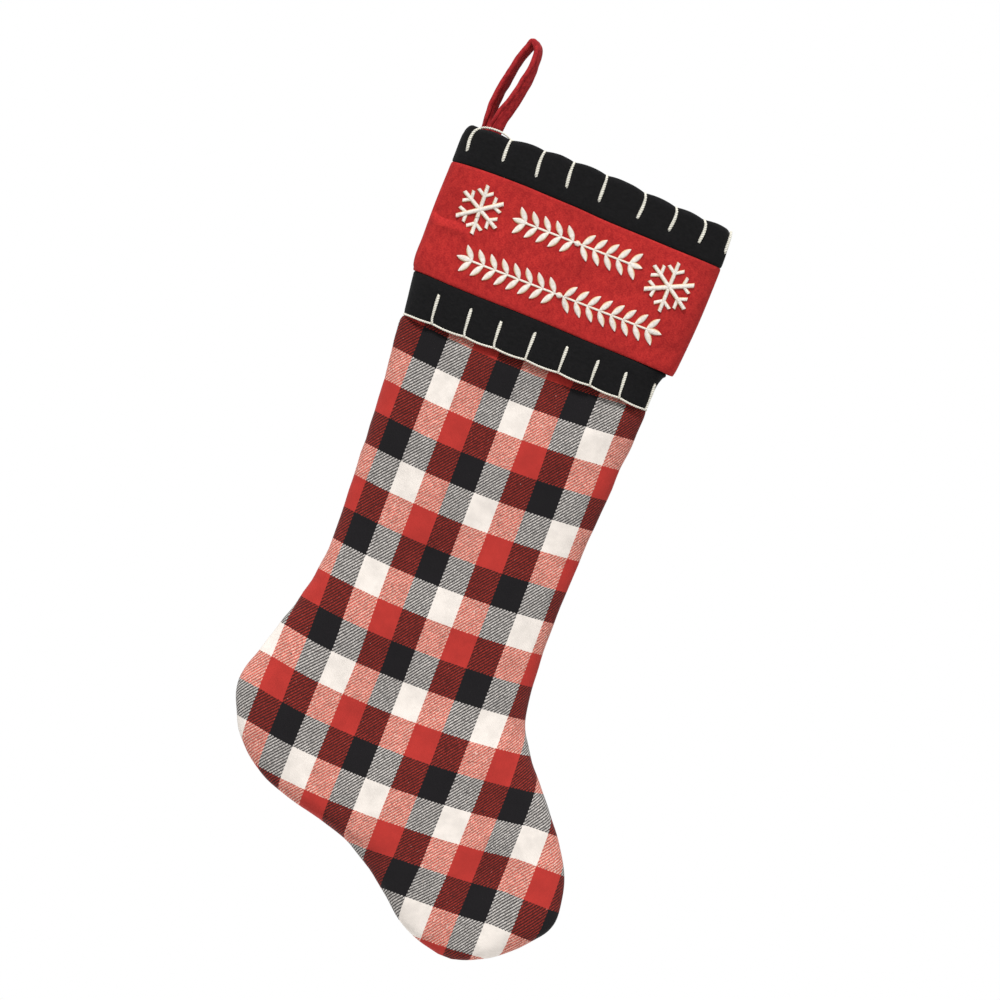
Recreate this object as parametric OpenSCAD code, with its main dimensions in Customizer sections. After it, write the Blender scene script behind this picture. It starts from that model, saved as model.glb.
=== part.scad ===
// Hanging stocking: a checked flannel sock with a lining, a three-band felt cuff turned down
// over its mouth, yarn blanket stitches, embroidery on the cuff's front and a tape loop.
// Millimetres. X runs towards the toe, Z is up and the front faces -Y.
// The origin is the top of the loop's inside, the point that rests on a hook.

/* [Sock] */
// Height from the folded mouth down to the sole
sock_height = 508; // [460:4:560]
// Length of the foot, from the heel to the toe
foot_length = 250; // [220:5:280]
// Depth of the foot, from front to back
foot_depth = 27; // [22:1:34]
// Thickness of the checked flannel
flannel_t = 1.2; // [0.8:0.1:1.5]
// Thickness of the lining
lining_t = 0.6; // [0.4:0.1:0.8]

/* [Cuff] */
// Width of the cuff at the mouth
cuff_width = 187; // [176:1:200]
// Depth of the cuff, from front to back
cuff_depth = 26; // [24:1:32]
// Height of the whole cuff
cuff_height = 127; // [115:1:140]
// Height of the upper band, which folds over the mouth
upper_band_height = 24; // [18:1:30]
// Height of the lower band
lower_band_height = 27; // [22:1:32]
// How far the upper band reaches down inside the mouth
turn_in = 12; // [9:1:15]
// Thickness of the felt
felt_t = 1.5; // [1.2:0.1:1.8]
// Thickness of the facing behind the felt
facing_t = 0.8; // [0.5:0.1:1]

/* [Yarn and embroidery] */
// Diameter of the blanket-stitch yarn
yarn_d = 1.5; // [1:0.1:2]
// Length of a stitch on the upper band
upper_stitch = 16; // [10:1:18]
// Length of a stitch on the lower band
lower_stitch = 18.5; // [12:0.5:21]
// Radius of a snowflake
flake_radius = 17; // [12:0.5:18]
// Width of a snowflake's bars
flake_bar = 2.8; // [2:0.1:3.4]
// Length of a leaf in the garlands
leaf_length = 11; // [8:0.5:12]
// Width of a leaf
leaf_width = 4; // [2.5:0.1:4.5]

/* [Loop] */
// Width of the loop's tape
tape_width = 9; // [7:0.5:10]
// Thickness of the folded tape
tape_t = 2.4; // [2:0.1:2.5]
// Height of the loop's inside above the fold of the mouth
loop_rise = 67; // [55:1:80]

/* [Hidden] */
$fn = 32;

// Colours
CRIMSON = [0.62, 0.11, 0.13];
CREAM = [0.93, 0.90, 0.81];
BLACK_FELT = [0.10, 0.10, 0.10];
RED_FELT = [0.72, 0.15, 0.16];
CHECK_FRONT = [0.70, 0.30, 0.28];
CHECK_BACK = [0.62, 0.26, 0.25];
LINING_WHITE = [0.90, 0.87, 0.80];

// Loop: foot of the tape, its lean towards the toe, and the hinge just above the fold
LOOP_X = 16.3 - cuff_width / 2;
LOOP_LEAN = 5.2;
HINGE_Z = 4.5;
// The cuff's middle lies this far to the toe side of the hook
MOUTH_X = -LOOP_X - LOOP_LEAN;

// Clearances: between the front and back halves, between layers, and round a loose layer
HALF_GAP = 0.05;
LAYER_GAP = 0.2;
LOOSE_GAP = 0.3;
// Columns across a panel and steps between two rows of its outline
COLS = 12;
STEPS = 2;
// Squareness of the cuff's section: 2 is an ellipse, more is flatter with rounder ends
CUFF_SQUARE = 8;

// Outline of the sock when it is 508 high and 250 long, from the mouth to the sole.
// Each row: left x and z, right x and z, half depth as a part of the foot's, squareness
ROWS = [
    [-90.6, 0, 90.5, 0, 0.755, 8],
    [-87.4, -60, 85.3, -60, 0.733, 8],
    [-84.3, -118, 80.2, -118, 0.713, 8],
    [-83.9, -128, 79.5, -128, 0.71, 8],
    [-86, -142, 82.4, -142, 0.75, 6],
    [-83.5, -178, 80, -178, 0.85, 4],
    [-79.5, -240, 77.5, -240, 0.92, 3],
    [-78, -288, 76.5, -288, 0.92, 3],
    [-82.5, -320, 79, -326, 0.95, 3],
    [-92, -353, 84.5, -351, 1, 3],
    [-100, -378, 97, -370, 1, 3],
    [-101, -391, 113, -389, 1, 3],
    [-96, -406, 126, -405, 1, 3],
    [-87, -421, 137, -420, 1, 3],
    [-72, -436, 144.5, -436, 0.97, 3],
    [-48, -447, 148.5, -455, 0.92, 3],
    [0, -460, 146, -468, 0.84, 3],
    [30, -478, 137, -480, 0.72, 3],
    [52, -496, 122, -494, 0.52, 3],
    [68, -504, 106, -503, 0.3, 3],
    [84, -508, 92, -508, 0, 3]
];
FOOT_X = foot_length / 250;
SOCK_Z = sock_height / 508;
LAST_ROW = len(ROWS) - 1;
SUB_ROWS = LAST_ROW * STEPS;

// Layers of the cuff, as insets from the felt's outside
FACING_IN = felt_t + LAYER_GAP;
SHELL_IN = FACING_IN + facing_t + LOOSE_GAP;
LINING_IN = flannel_t + LAYER_GAP;
SKIRT_IN = SHELL_IN + LINING_IN + lining_t + LOOSE_GAP;

// Cuff outlines: left x, right x, half depth and z at the top and at the bottom of each
UPPER_TOP = [-cuff_width / 2, cuff_width / 2, cuff_depth / 2, 0];
UPPER_END = [-cuff_width / 2 + 2, cuff_width / 2 - 2.5, cuff_depth / 2, -cuff_height];
LOWER_TUCK = [3.4, -6.4, -0.3, 0];
LOWER_SKEW = [1.4, -2.2, -0.3, 0];
CORE_END = UPPER_END + LOWER_TUCK + LOWER_SKEW;

// Blanket stitches: where each stands along the front of a cuff 187 wide
CUFF_X = cuff_width / 187;
UPPER_STITCH_X = CUFF_X * [-87, -63, -39, -18, 5, 33, 54, 75, 91.5];
LOWER_STITCH_X = CUFF_X * [-70, -47, -25, -3, 21, 43, 63, 82];
STITCH_LIFT = 0.35;
BACK_STITCH_PITCH = 23;

// Embroidery: depth of the satin stitch above the felt and of its threads within it
SATIN_UP = 0.6;
SATIN_DOWN = 0.4;
FLAKE_LEFT = [-65.5 * CUFF_X, -47];
FLAKE_RIGHT = [67.7 * CUFF_X, -49];
BRANCH_AT = 0.52;
BRANCH_LENGTH = 0.38;
BRANCH_ANGLE = 55;
UPPER_GARLAND = [-43, 47, -45.5];
LOWER_GARLAND = [-68, 74, -81];
LEAF_ANGLE = 55;
LEAF_PITCH = 8.2;
STEM_WIDTH = 1.3;
BERRY_RADIUS = 2;

// Loop: its outer height, and the radii of its pointed top and of the fold at the hinge
LOOP_TOP = loop_rise + tape_t / 2;
NOSE_RADIUS = tape_t / 2 + 0.4;
FOLD_RADIUS = tape_t / 2 + 0.1;
// Rows of the loop: part of its height, distance between the legs, turn about the vertical
LEG_ROWS = [
    [0, 2 * FOLD_RADIUS, 88],
    [0.08, 5, 72],
    [0.17, 9, 46],
    [0.30, 13.6, 29],
    [0.44, 14.6, 25],
    [0.60, 13.6, 25],
    [0.75, 12, 25],
    [0.85, 9.6, 25],
    [0.93, 6.4, 25],
    [0.975, 4, 25]
];
LEGS = len(LEG_ROWS);
TAIL_TOP = HINGE_Z - FOLD_RADIUS - tape_t / 2 - 2 * LOOSE_GAP;
// Tails: where they bend back, where they lie straight again, where they end, and how far back
TAIL_BEND_Z = -9;
TAIL_SET_Z = -20;
TAIL_END_Z = -30;
TAIL_SHIFT = 1.6;
TAIL_GAP = 0.05;
TACK_ROWS = [-27, -23];
TACK_PITCH = 3;
// Topstitch: points left free at each end of the loop, place on the tape's width, share sewn
TOPSTITCH_SKIP = 4;
TOPSTITCH_SIDE = 0.22;
TOPSTITCH_SHARE = 0.6;

// Sewing thread: radii, share of a seam's step that shows, and stitches of the cuff's seams
THREAD_R = 0.4;
FINE_THREAD_R = 0.25;
SEAM_SHARE = 0.55;
BAND_STITCH_PITCH = 8;
BAND_STITCH_REACH = 2.5;
BAND_STITCH_MARGIN = 6;
MOUTH_SEAM_Z = -7;
MOUTH_SEAM_X = [-66, 78];
MOUTH_SEAM_PITCH = 12;

function mix(a, b, t) = a + (b - a) * t;
function bulge(u, square) = sqrt(max(0, 1 - pow(min(1, abs(u)), square)));
function unit(v) = v / norm(v);
function wrap(list, i) = list[(i + len(list)) % len(list)];

// A smooth curve through the rows of a list, at step t of interval i
function spline(v, i, t) =
    let (a = v[max(i - 1, 0)], b = v[i], c = v[i + 1], d = v[min(i + 2, len(v) - 1)])
    0.5 * (2 * b + (c - a) * t + (2 * a - 5 * b + 4 * c - d) * t * t + (3 * b - a - 3 * c + d) * t * t * t);

// Row of the sock's outline at real size
function row_at(i) = let (r = ROWS[i])
    [r[0] * FOOT_X, r[1] * SOCK_Z, r[2] * FOOT_X, r[3] * SOCK_Z, r[4] * foot_depth / 2, r[5]];
SIZED = [for (i = [0:LAST_ROW]) row_at(i)];
FINE = [for (s = [0:SUB_ROWS])
    let (i = min(floor(s / STEPS), LAST_ROW - 1)) spline(SIZED, i, s / STEPS - i)];

// Side points of a fine row, moved in by inset across the outline
function side_point(s, left) = left ? [FINE[s][0], FINE[s][1]] : [FINE[s][2], FINE[s][3]];
function side_along(s, left) =
    unit(side_point(min(s + 1, SUB_ROWS), left) - side_point(max(s - 1, 0), left));
function side_in(s, left) = let (t = side_along(s, left)) left ? [-t[1], t[0]] : [t[1], -t[0]];
function inset_point(s, left, inset) = side_point(s, left) + inset * side_in(s, left);

// Point of a front panel's surface in row s and column j, for a layer that lies inset deep
function panel_point(s, j, inset) =
    let (
        u = -cos(180 * j / COLS),
        p = mix(inset_point(s, true, inset), inset_point(s, false, inset), (u + 1) / 2)
    )
    [p[0], -HALF_GAP - max(0, FINE[s][4] - inset) * bulge(u, FINE[s][5]), p[1]];

// One layer of the sock's front, between two insets
module panel(outside, inside) {
    width = COLS + 1;
    layer = (SUB_ROWS + 1) * width;
    points = [
        for (inset = [outside, inside])
        for (s = [0:SUB_ROWS])
        for (j = [0:COLS])
        panel_point(s, j, inset)
    ];
    skin = [
        for (s = [0:SUB_ROWS - 1])
        for (j = [0:COLS - 1])
        let (a = s * width + j, b = a + 1, c = a + width, d = c + 1)
        for (face = [[a, b, c], [b, d, c]])
        face
    ];
    side_rims = [
        for (s = [0:SUB_ROWS - 1])
        let (a = s * width, b = a + width, c = a + COLS, d = b + COLS)
        for (face = [[a, b, b + layer], [a, b + layer, a + layer], [d, c, c + layer], [d, c + layer, d + layer]])
        face
    ];
    end_rims = [
        for (j = [0:COLS - 1])
        let (a = j, b = j + 1, c = SUB_ROWS * width + j, d = c + 1)
        for (face = [[b, a, a + layer], [b, a + layer, b + layer], [c, d, d + layer], [c, d + layer, c + layer]])
        face
    ];
    inner = [for (f = skin) [f[0] + layer, f[2] + layer, f[1] + layer]];
    polyhedron(points, concat(skin, inner, side_rims, end_rims), convexity = 6);
}

// Cuff outlines at height z, moved in by inset: left x, right x, half depth and z
function inset_row(row, inset, z) = [row[0] + inset, row[1] - inset, row[2] - inset, z];
function upper_row(z, inset) = inset_row(mix(UPPER_TOP, UPPER_END, -z / cuff_height), inset, z);
function lower_row(z, inset) =
    inset_row(mix(UPPER_TOP, UPPER_END, -z / cuff_height) + LOWER_TUCK, inset, z);
function core_row(z, inset) = inset_row(mix(UPPER_TOP, CORE_END, -z / cuff_height), inset, z);

function ring_point(row, k) =
    let (
        back = k > COLS,
        u = back ? cos(180 * (k - COLS) / COLS) : -cos(180 * k / COLS),
        depth = row[2] * bulge(u, CUFF_SQUARE)
    )
    [mix(row[0], row[1], (u + 1) / 2), back ? depth : -depth, row[3]];

// A closed band round the sock: its section is a list of cuff outlines in order
module band(section) {
    count = len(section);
    turns = 2 * COLS;
    points = [for (k = [0:turns - 1]) for (row = section) ring_point(row, k)];
    faces = [
        for (k = [0:turns - 1])
        for (m = [0:count - 1])
        let (
            next_k = (k + 1) % turns,
            next_m = (m + 1) % count,
            a = k * count + m,
            b = next_k * count + m,
            c = next_k * count + next_m,
            d = k * count + next_m
        )
        for (face = [[a, b, c], [a, c, d]])
        face
    ];
    polyhedron(points, faces, convexity = 6);
}

// Depth of a cuff outline's surface at x
function depth_at(row, x) = row[2] * bulge((2 * x - row[0] - row[1]) / (row[1] - row[0]), CUFF_SQUARE);

// A round rod between two points
module rod(a, b, r) {
    along = b - a;
    translate(a)
        rotate([0, acos(along[2] / norm(along)), atan2(along[1], along[0])])
            cylinder(r = r, h = norm(along), $fn = 16);
}

module at_mouth() {
    translate([MOUTH_X, 0, -loop_rise]) children();
}

// Stitches along both side edges of a layer, through its two halves
module seam_thread(inset, r) {
    for (left = [true, false]) {
        for (s = [1:SUB_ROWS - 1]) {
            a = inset_point(s, left, inset);
            b = mix(a, inset_point(s + 1, left, inset), SEAM_SHARE);
            rod([a[0], 0, a[1]], [b[0], 0, b[1]], r);
        }
    }
}

// Short upright stitches across the joint between two bands
module band_seam(z) {
    top = upper_row(z, felt_t / 2);
    low = z > -cuff_height / 2 ? top : lower_row(z, felt_t / 2);
    reach = min(-top[0], -low[0]) - BAND_STITCH_MARGIN;
    for (x = [-reach:BAND_STITCH_PITCH:reach]) {
        for (side = [-1, 1]) {
            rod(
                [x, side * depth_at(top, x), z + BAND_STITCH_REACH],
                [x, side * depth_at(low, x), z - BAND_STITCH_REACH],
                THREAD_R
            );
        }
    }
}

// Loop: centre line of the tape. Legs run up on the left and down on the right.
function loop_x(z) = LOOP_X + LOOP_LEAN * (z - HINGE_Z) / (loop_rise - HINGE_Z);
function across(turn) = [cos(turn), -sin(turn), 0];
function leg_point(row, side) =
    let (z = mix(HINGE_Z, LOOP_TOP, row[0]))
    [loop_x(z), 0, z] + side * row[1] / 2 * across(row[2]);
FINE_LEGS = [for (s = [0:2 * (LEGS - 1)])
    let (i = min(floor(s / 2), LEGS - 2)) spline(LEG_ROWS, i, s / 2 - i)];
FINE_COUNT = len(FINE_LEGS);
TOP_TURN = LEG_ROWS[LEGS - 1][2];
// The tape's path: left leg, top, right leg, and the fold at the hinge
LOOP_PATH = concat(
    [for (row = FINE_LEGS) leg_point(row, -1)],
    [for (a = [-60, -25, 25, 60])
        [loop_x(LOOP_TOP), 0, LOOP_TOP - NOSE_RADIUS * (1 - cos(a))]
        + NOSE_RADIUS * sin(a) * across(TOP_TURN)],
    [for (i = [FINE_COUNT - 1:-1:0]) leg_point(FINE_LEGS[i], 1)],
    [for (a = [45, 90, 135])
        [loop_x(HINGE_Z), 0, HINGE_Z - FOLD_RADIUS * sin(a)]
        + FOLD_RADIUS * cos(a) * across(LEG_ROWS[0][2])]
);
LOOP_TURNS = concat(
    [for (row = FINE_LEGS) row[2]],
    [for (i = [1:4]) TOP_TURN],
    [for (i = [FINE_COUNT - 1:-1:0]) FINE_LEGS[i][2]],
    [for (i = [1:3]) LEG_ROWS[0][2]]
);
function loop_along(i) = unit(wrap(LOOP_PATH, i + 1) - wrap(LOOP_PATH, i - 1));
function loop_wide(i) =
    let (t = loop_along(i), w = [sin(LOOP_TURNS[i]), cos(LOOP_TURNS[i]), 0])
    unit(w - (w * t) * t);
function loop_out(i) = cross(loop_along(i), loop_wide(i));

// Point of the topstitch line, on the outside of the tape and nearer to its front edge
function stitch_point(i) =
    LOOP_PATH[i] - tape_width * TOPSTITCH_SIDE * loop_wide(i) + tape_t / 2 * loop_out(i);

// Tape ring
module hanging_loop() {
    count = len(LOOP_PATH);
    corners = [[-0.5, -0.5], [0.5, -0.5], [0.5, 0.5], [-0.5, 0.5]];
    points = [
        for (i = [0:count - 1])
        for (c = corners)
        LOOP_PATH[i] + c[0] * tape_width * loop_wide(i) + c[1] * tape_t * loop_out(i)
    ];
    faces = [
        for (i = [0:count - 1])
        for (m = [0:3])
        let (
            n = (i + 1) % count,
            k = (m + 1) % 4,
            a = 4 * i + m,
            b = 4 * n + m,
            c = 4 * n + k,
            d = 4 * i + k
        )
        for (face = [[a, b, c], [a, c, d]])
        face
    ];
    color(CRIMSON) at_mouth() polyhedron(points, faces, convexity = 6);
}

// Row of stitches that closes the folded tape, on the loop's outside
module loop_topstitch() {
    color(CRIMSON) at_mouth() {
        for (i = [TOPSTITCH_SKIP:len(LOOP_PATH) - TOPSTITCH_SKIP - 4]) {
            rod(stitch_point(i), mix(stitch_point(i), stitch_point(i + 1), TOPSTITCH_SHARE), THREAD_R);
        }
    }
}

// The tape's two ends, which go down inside the mouth to the back lining
module loop_tails() {
    tail = tape_t - TAIL_GAP;
    for (front = [-tape_t, TAIL_GAP]) {
        color(CRIMSON) at_mouth()
            translate([LOOP_X - tape_width / 2, 0, 0])
                rotate([90, 0, 90])
                    linear_extrude(height = tape_width)
                        polygon([
                            [front, TAIL_TOP],
                            [front, TAIL_BEND_Z],
                            [front + TAIL_SHIFT, TAIL_SET_Z],
                            [front + TAIL_SHIFT, TAIL_END_Z],
                            [front + TAIL_SHIFT + tail, TAIL_END_Z],
                            [front + TAIL_SHIFT + tail, TAIL_SET_Z],
                            [front + tail, TAIL_BEND_Z],
                            [front + tail, TAIL_TOP]
                        ]);
    }
}

// Tack that holds the tails to the back of the sock
module loop_bar_tack() {
    shell = core_row((TACK_ROWS[0] + TACK_ROWS[1]) / 2, SHELL_IN);
    color(CREAM) at_mouth() {
        for (x = [LOOP_X - TACK_PITCH, LOOP_X, LOOP_X + TACK_PITCH]) {
            for (z = TACK_ROWS) {
                rod([x, LAYER_GAP, z], [x, depth_at(shell, x) - flannel_t / 2, z], THREAD_R);
            }
        }
    }
}

module shell_front_panel() {
    color(CHECK_FRONT) at_mouth() translate([0, 0, -FACING_IN]) panel(0, flannel_t);
}

module shell_back_panel() {
    color(CHECK_BACK) at_mouth() translate([0, 0, -FACING_IN]) mirror([0, 1, 0]) panel(0, flannel_t);
}

module shell_seam_thread() {
    color(BLACK_FELT) at_mouth() translate([0, 0, -FACING_IN]) seam_thread(flannel_t / 2, THREAD_R);
}

module lining_front_panel() {
    color(LINING_WHITE) at_mouth()
        translate([0, 0, -FACING_IN]) panel(LINING_IN, LINING_IN + lining_t);
}

module lining_back_panel() {
    color(LINING_WHITE) at_mouth()
        translate([0, 0, -FACING_IN]) mirror([0, 1, 0]) panel(LINING_IN, LINING_IN + lining_t);
}

module lining_seam_thread() {
    color(CREAM) at_mouth()
        translate([0, 0, -FACING_IN]) seam_thread(LINING_IN + lining_t / 2, FINE_THREAD_R);
}

// Stitches through every layer just under the fold of the mouth
module mouth_seam_stitches() {
    z = MOUTH_SEAM_Z;
    outer = upper_row(z, felt_t / 2);
    inner = core_row(z, SKIRT_IN - felt_t / 2);
    color(BLACK_FELT) at_mouth() {
        for (x = [MOUTH_SEAM_X[0]:MOUTH_SEAM_PITCH:MOUTH_SEAM_X[1]]) {
            for (side = [-1, 1]) {
                rod([x, side * depth_at(inner, x), z], [x, side * depth_at(outer, x), z], THREAD_R);
            }
        }
    }
}

// Upper band: its section goes up the outside, over the fold and down inside the mouth
module cuff_upper_band() {
    soft = felt_t * 0.8;
    skirt = SKIRT_IN;
    color(BLACK_FELT) at_mouth()
        band([
            upper_row(-upper_band_height, 0),
            upper_row(-soft, 0),
            upper_row(0, soft),
            core_row(0, skirt + felt_t - soft),
            core_row(-soft, skirt + felt_t),
            core_row(-turn_in, skirt + felt_t),
            core_row(-turn_in, skirt),
            core_row(-felt_t, skirt),
            upper_row(-felt_t, felt_t),
            upper_row(-upper_band_height, felt_t)
        ]);
}

module cuff_centre_band() {
    top = -upper_band_height;
    low = lower_band_height - cuff_height;
    color(RED_FELT) at_mouth()
        band([upper_row(low, 0), upper_row(top, 0), upper_row(top, felt_t), upper_row(low, felt_t)]);
}

module cuff_lower_band() {
    top = lower_band_height - cuff_height;
    low = -cuff_height;
    color(BLACK_FELT) at_mouth()
        band([lower_row(low, 0), lower_row(top, 0), lower_row(top, felt_t), lower_row(low, felt_t)]);
}

module cuff_facing() {
    top = -FACING_IN;
    low = 1 - cuff_height;
    color(CRIMSON) at_mouth()
        band([
            core_row(low, FACING_IN),
            core_row(top, FACING_IN),
            core_row(top, FACING_IN + facing_t),
            core_row(low, FACING_IN + facing_t)
        ]);
}

module cuff_upper_seam_stitches() {
    color(BLACK_FELT) at_mouth() band_seam(-upper_band_height);
}

module cuff_lower_seam_stitches() {
    color(BLACK_FELT) at_mouth() band_seam(lower_band_height - cuff_height);
}

// Upright stitch that lies on a band's face
module upright_stitch(top, low, x, side) {
    rod(
        [x, side * (depth_at(top, x) + STITCH_LIFT), top[3]],
        [x, side * (depth_at(low, x) + STITCH_LIFT), low[3]],
        yarn_d / 2
    );
}

// Stitches of the upper band: each stands on the face and bends over the fold
module upper_blanket_stitches() {
    top = upper_row(-felt_t, 0);
    low = upper_row(-upper_stitch, 0);
    edge = core_row(0, SKIRT_IN);
    back_x = [for (x = [-80:BACK_STITCH_PITCH:86]) x];
    color(CREAM) at_mouth() {
        for (side = [-1, 1]) {
            for (x = side < 0 ? UPPER_STITCH_X : back_x) {
                upright_stitch(top, low, x, side);
                rod(
                    [x, side * (depth_at(top, x) + STITCH_LIFT), -felt_t],
                    [x, side * depth_at(edge, x), STITCH_LIFT],
                    yarn_d / 2
                );
            }
        }
    }
}

// Yarn that runs along the fold of the mouth
module upper_edge_yarn() {
    color(CREAM) at_mouth()
        band([
            core_row(-STITCH_LIFT, SKIRT_IN - yarn_d / 2),
            core_row(yarn_d - STITCH_LIFT, SKIRT_IN - yarn_d / 2),
            core_row(yarn_d - STITCH_LIFT, SKIRT_IN + yarn_d / 2),
            core_row(-STITCH_LIFT, SKIRT_IN + yarn_d / 2)
        ]);
}

module lower_blanket_stitches() {
    top = lower_row(lower_stitch - cuff_height, 0);
    low = lower_row(-cuff_height, 0);
    back_x = [for (x = [-76:BACK_STITCH_PITCH:76]) x];
    color(CREAM) at_mouth() {
        for (side = [-1, 1]) {
            for (x = side < 0 ? LOWER_STITCH_X : back_x) {
                upright_stitch(top, low, x, side);
            }
        }
    }
}

// Yarn that runs along the lower edge
module lower_edge_yarn() {
    top = yarn_d / 2 - cuff_height;
    low = -yarn_d / 2 - cuff_height;
    color(CREAM) at_mouth()
        band([
            lower_row(low, STITCH_LIFT - yarn_d / 2),
            lower_row(top, STITCH_LIFT - yarn_d / 2),
            lower_row(top, STITCH_LIFT + yarn_d / 2),
            lower_row(low, STITCH_LIFT + yarn_d / 2)
        ]);
}

// A flat motif laid on the centre band's front as raised stitching
module embroider(x_from, x_to, z_mid) {
    row = upper_row(z_mid, 0);
    step = (x_to - x_from) / ceil((x_to - x_from) / 6);
    xs = [for (x = [x_from:step:x_to + step / 2]) x];
    over = [for (x = xs) [x, -depth_at(row, x) - SATIN_UP]];
    under = [for (i = [len(xs) - 1:-1:0]) [xs[i], SATIN_DOWN - depth_at(row, xs[i])]];
    color(CREAM) at_mouth()
        intersection() {
            rotate([90, 0, 0]) linear_extrude(height = cuff_depth) children();
            translate([0, 0, z_mid - 25]) linear_extrude(height = 50) polygon(concat(over, under));
        }
}

module bar(length, width) {
    translate([0, -width / 2]) square([length, width]);
    translate([length, 0]) circle(d = width);
}

module snowflake() {
    for (arm = [30:60:330]) {
        rotate(arm) {
            bar(flake_radius - flake_bar / 2, flake_bar);
            for (turn = [-BRANCH_ANGLE, BRANCH_ANGLE]) {
                translate([BRANCH_AT * flake_radius, 0])
                    rotate(turn)
                        bar(BRANCH_LENGTH * flake_radius, flake_bar * 0.85);
            }
        }
    }
}

module snowflake_left() {
    reach = flake_radius + 1;
    embroider(FLAKE_LEFT[0] - reach, FLAKE_LEFT[0] + reach, FLAKE_LEFT[1])
        translate(FLAKE_LEFT) snowflake();
}

module snowflake_right() {
    reach = flake_radius + 1;
    embroider(FLAKE_RIGHT[0] - reach, FLAKE_RIGHT[0] + reach, FLAKE_RIGHT[1])
        translate(FLAKE_RIGHT) snowflake();
}

// Pointed leaf that grows from the origin along X: two arcs that cross at its ends
module leaf() {
    arc = (pow(leaf_length / 2, 2) + pow(leaf_width / 2, 2)) / leaf_width;
    intersection() {
        translate([leaf_length / 2, arc - leaf_width / 2]) circle(r = arc, $fn = 96);
        translate([leaf_length / 2, leaf_width / 2 - arc]) circle(r = arc, $fn = 96);
    }
}

// A straight stem with leaves in pairs that point away from a berry in its middle
module garland(place) {
    half = (place[1] - place[0]) / 2;
    pairs = floor((half - leaf_length) / LEAF_PITCH);
    translate([(place[0] + place[1]) / 2, place[2]]) {
        circle(r = BERRY_RADIUS);
        for (way = [0, 180]) {
            rotate(way) {
                translate([0, -STEM_WIDTH / 2]) square([half - leaf_length + 1, STEM_WIDTH]);
                translate([half - leaf_length, 0]) leaf();
                for (i = [0:pairs]) {
                    for (turn = [-LEAF_ANGLE, LEAF_ANGLE]) {
                        translate([3 + i * LEAF_PITCH, 0]) rotate(turn) leaf();
                    }
                }
            }
        }
    }
}

module garland_upper() {
    embroider(UPPER_GARLAND[0] - 1, UPPER_GARLAND[1] + 1, UPPER_GARLAND[2]) garland(UPPER_GARLAND);
}

module garland_lower() {
    embroider(LOWER_GARLAND[0] - 1, LOWER_GARLAND[1] + 1, LOWER_GARLAND[2]) garland(LOWER_GARLAND);
}

hanging_loop();
loop_topstitch();
loop_tails();
loop_bar_tack();
shell_front_panel();
shell_back_panel();
shell_seam_thread();
lining_front_panel();
lining_back_panel();
lining_seam_thread();
mouth_seam_stitches();
cuff_upper_band();
cuff_centre_band();
cuff_lower_band();
cuff_facing();
cuff_upper_seam_stitches();
cuff_lower_seam_stitches();
upper_blanket_stitches();
upper_edge_yarn();
lower_blanket_stitches();
lower_edge_yarn();
snowflake_left();
snowflake_right();
garland_upper();
garland_lower();
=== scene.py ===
"""Looks of the hanging stocking. Lengths are millimetres in the cuff's own frame until a mesh is made:
x = 0 is the cuff's middle, z = 0 its fold over the mouth, and the front faces -y."""

import math

import bpy
import numpy as np
from mathutils import Matrix, Vector


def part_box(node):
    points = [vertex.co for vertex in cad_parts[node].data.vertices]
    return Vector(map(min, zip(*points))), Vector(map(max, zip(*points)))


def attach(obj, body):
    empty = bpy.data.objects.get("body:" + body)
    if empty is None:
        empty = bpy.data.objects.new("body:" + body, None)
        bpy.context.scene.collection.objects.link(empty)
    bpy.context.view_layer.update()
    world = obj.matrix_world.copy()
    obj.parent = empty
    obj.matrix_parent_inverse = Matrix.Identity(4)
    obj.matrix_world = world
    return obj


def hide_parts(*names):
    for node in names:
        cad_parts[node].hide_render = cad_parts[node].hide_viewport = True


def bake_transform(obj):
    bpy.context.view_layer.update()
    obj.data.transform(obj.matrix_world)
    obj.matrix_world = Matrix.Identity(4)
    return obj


MM = 0.001
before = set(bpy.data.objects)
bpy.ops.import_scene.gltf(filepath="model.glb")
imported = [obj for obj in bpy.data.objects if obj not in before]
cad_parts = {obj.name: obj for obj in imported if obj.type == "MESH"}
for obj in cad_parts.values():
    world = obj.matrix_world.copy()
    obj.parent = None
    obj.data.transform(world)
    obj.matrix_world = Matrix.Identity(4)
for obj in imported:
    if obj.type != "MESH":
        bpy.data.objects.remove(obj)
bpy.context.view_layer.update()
CUFF_LOW, CUFF_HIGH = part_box("cuff_upper_band")
CUFF_MID = (CUFF_LOW.x + CUFF_HIGH.x) / 2 / MM
FOLD_Z = CUFF_HIGH.z / MM

FELT_T = 1.5
FLANNEL_T = 1.2
LINING_T = 0.6
FACING_T = 0.8
YARN_R = 0.88
YARN_STEP = 0.42
YARN_TWIST = 3.2
EDGE_YARN_R = 0.72
SEWN_IN = 1.5
YARNS = 33
COLUMN_WIDTH = 17.55
ROW_HEIGHT = 21.2


# ---- numbers and lines


def smooth_line(*table):
    """A smooth function through (x, y) pairs, flat outside them."""
    xs, ys = np.array(table, float).T
    slopes = np.gradient(ys, xs)

    def value(x):
        x = np.clip(np.asarray(x, float), xs[0], xs[-1])
        i = np.clip(np.searchsorted(xs, x) - 1, 0, len(xs) - 2)
        h = xs[i + 1] - xs[i]
        t = (x - xs[i]) / h
        a, b = ys[i], ys[i + 1]
        ma, mb = slopes[i] * h, slopes[i + 1] * h
        return (
            (2 * t**3 - 3 * t**2 + 1) * a + (t**3 - 2 * t**2 + t) * ma
            + (3 * t**2 - 2 * t**3) * b + (t**3 - t**2) * mb
        )

    return value


def around(x, centre, width):
    """1 at the centre, fading to 0 on both sides of it."""
    return np.exp(-(((x - centre) / width) ** 2))


def below(z, start, reach):
    """0 above a height, growing to 1 over the reach below it."""
    return np.clip((start - z) / reach, 0, 1)


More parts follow.
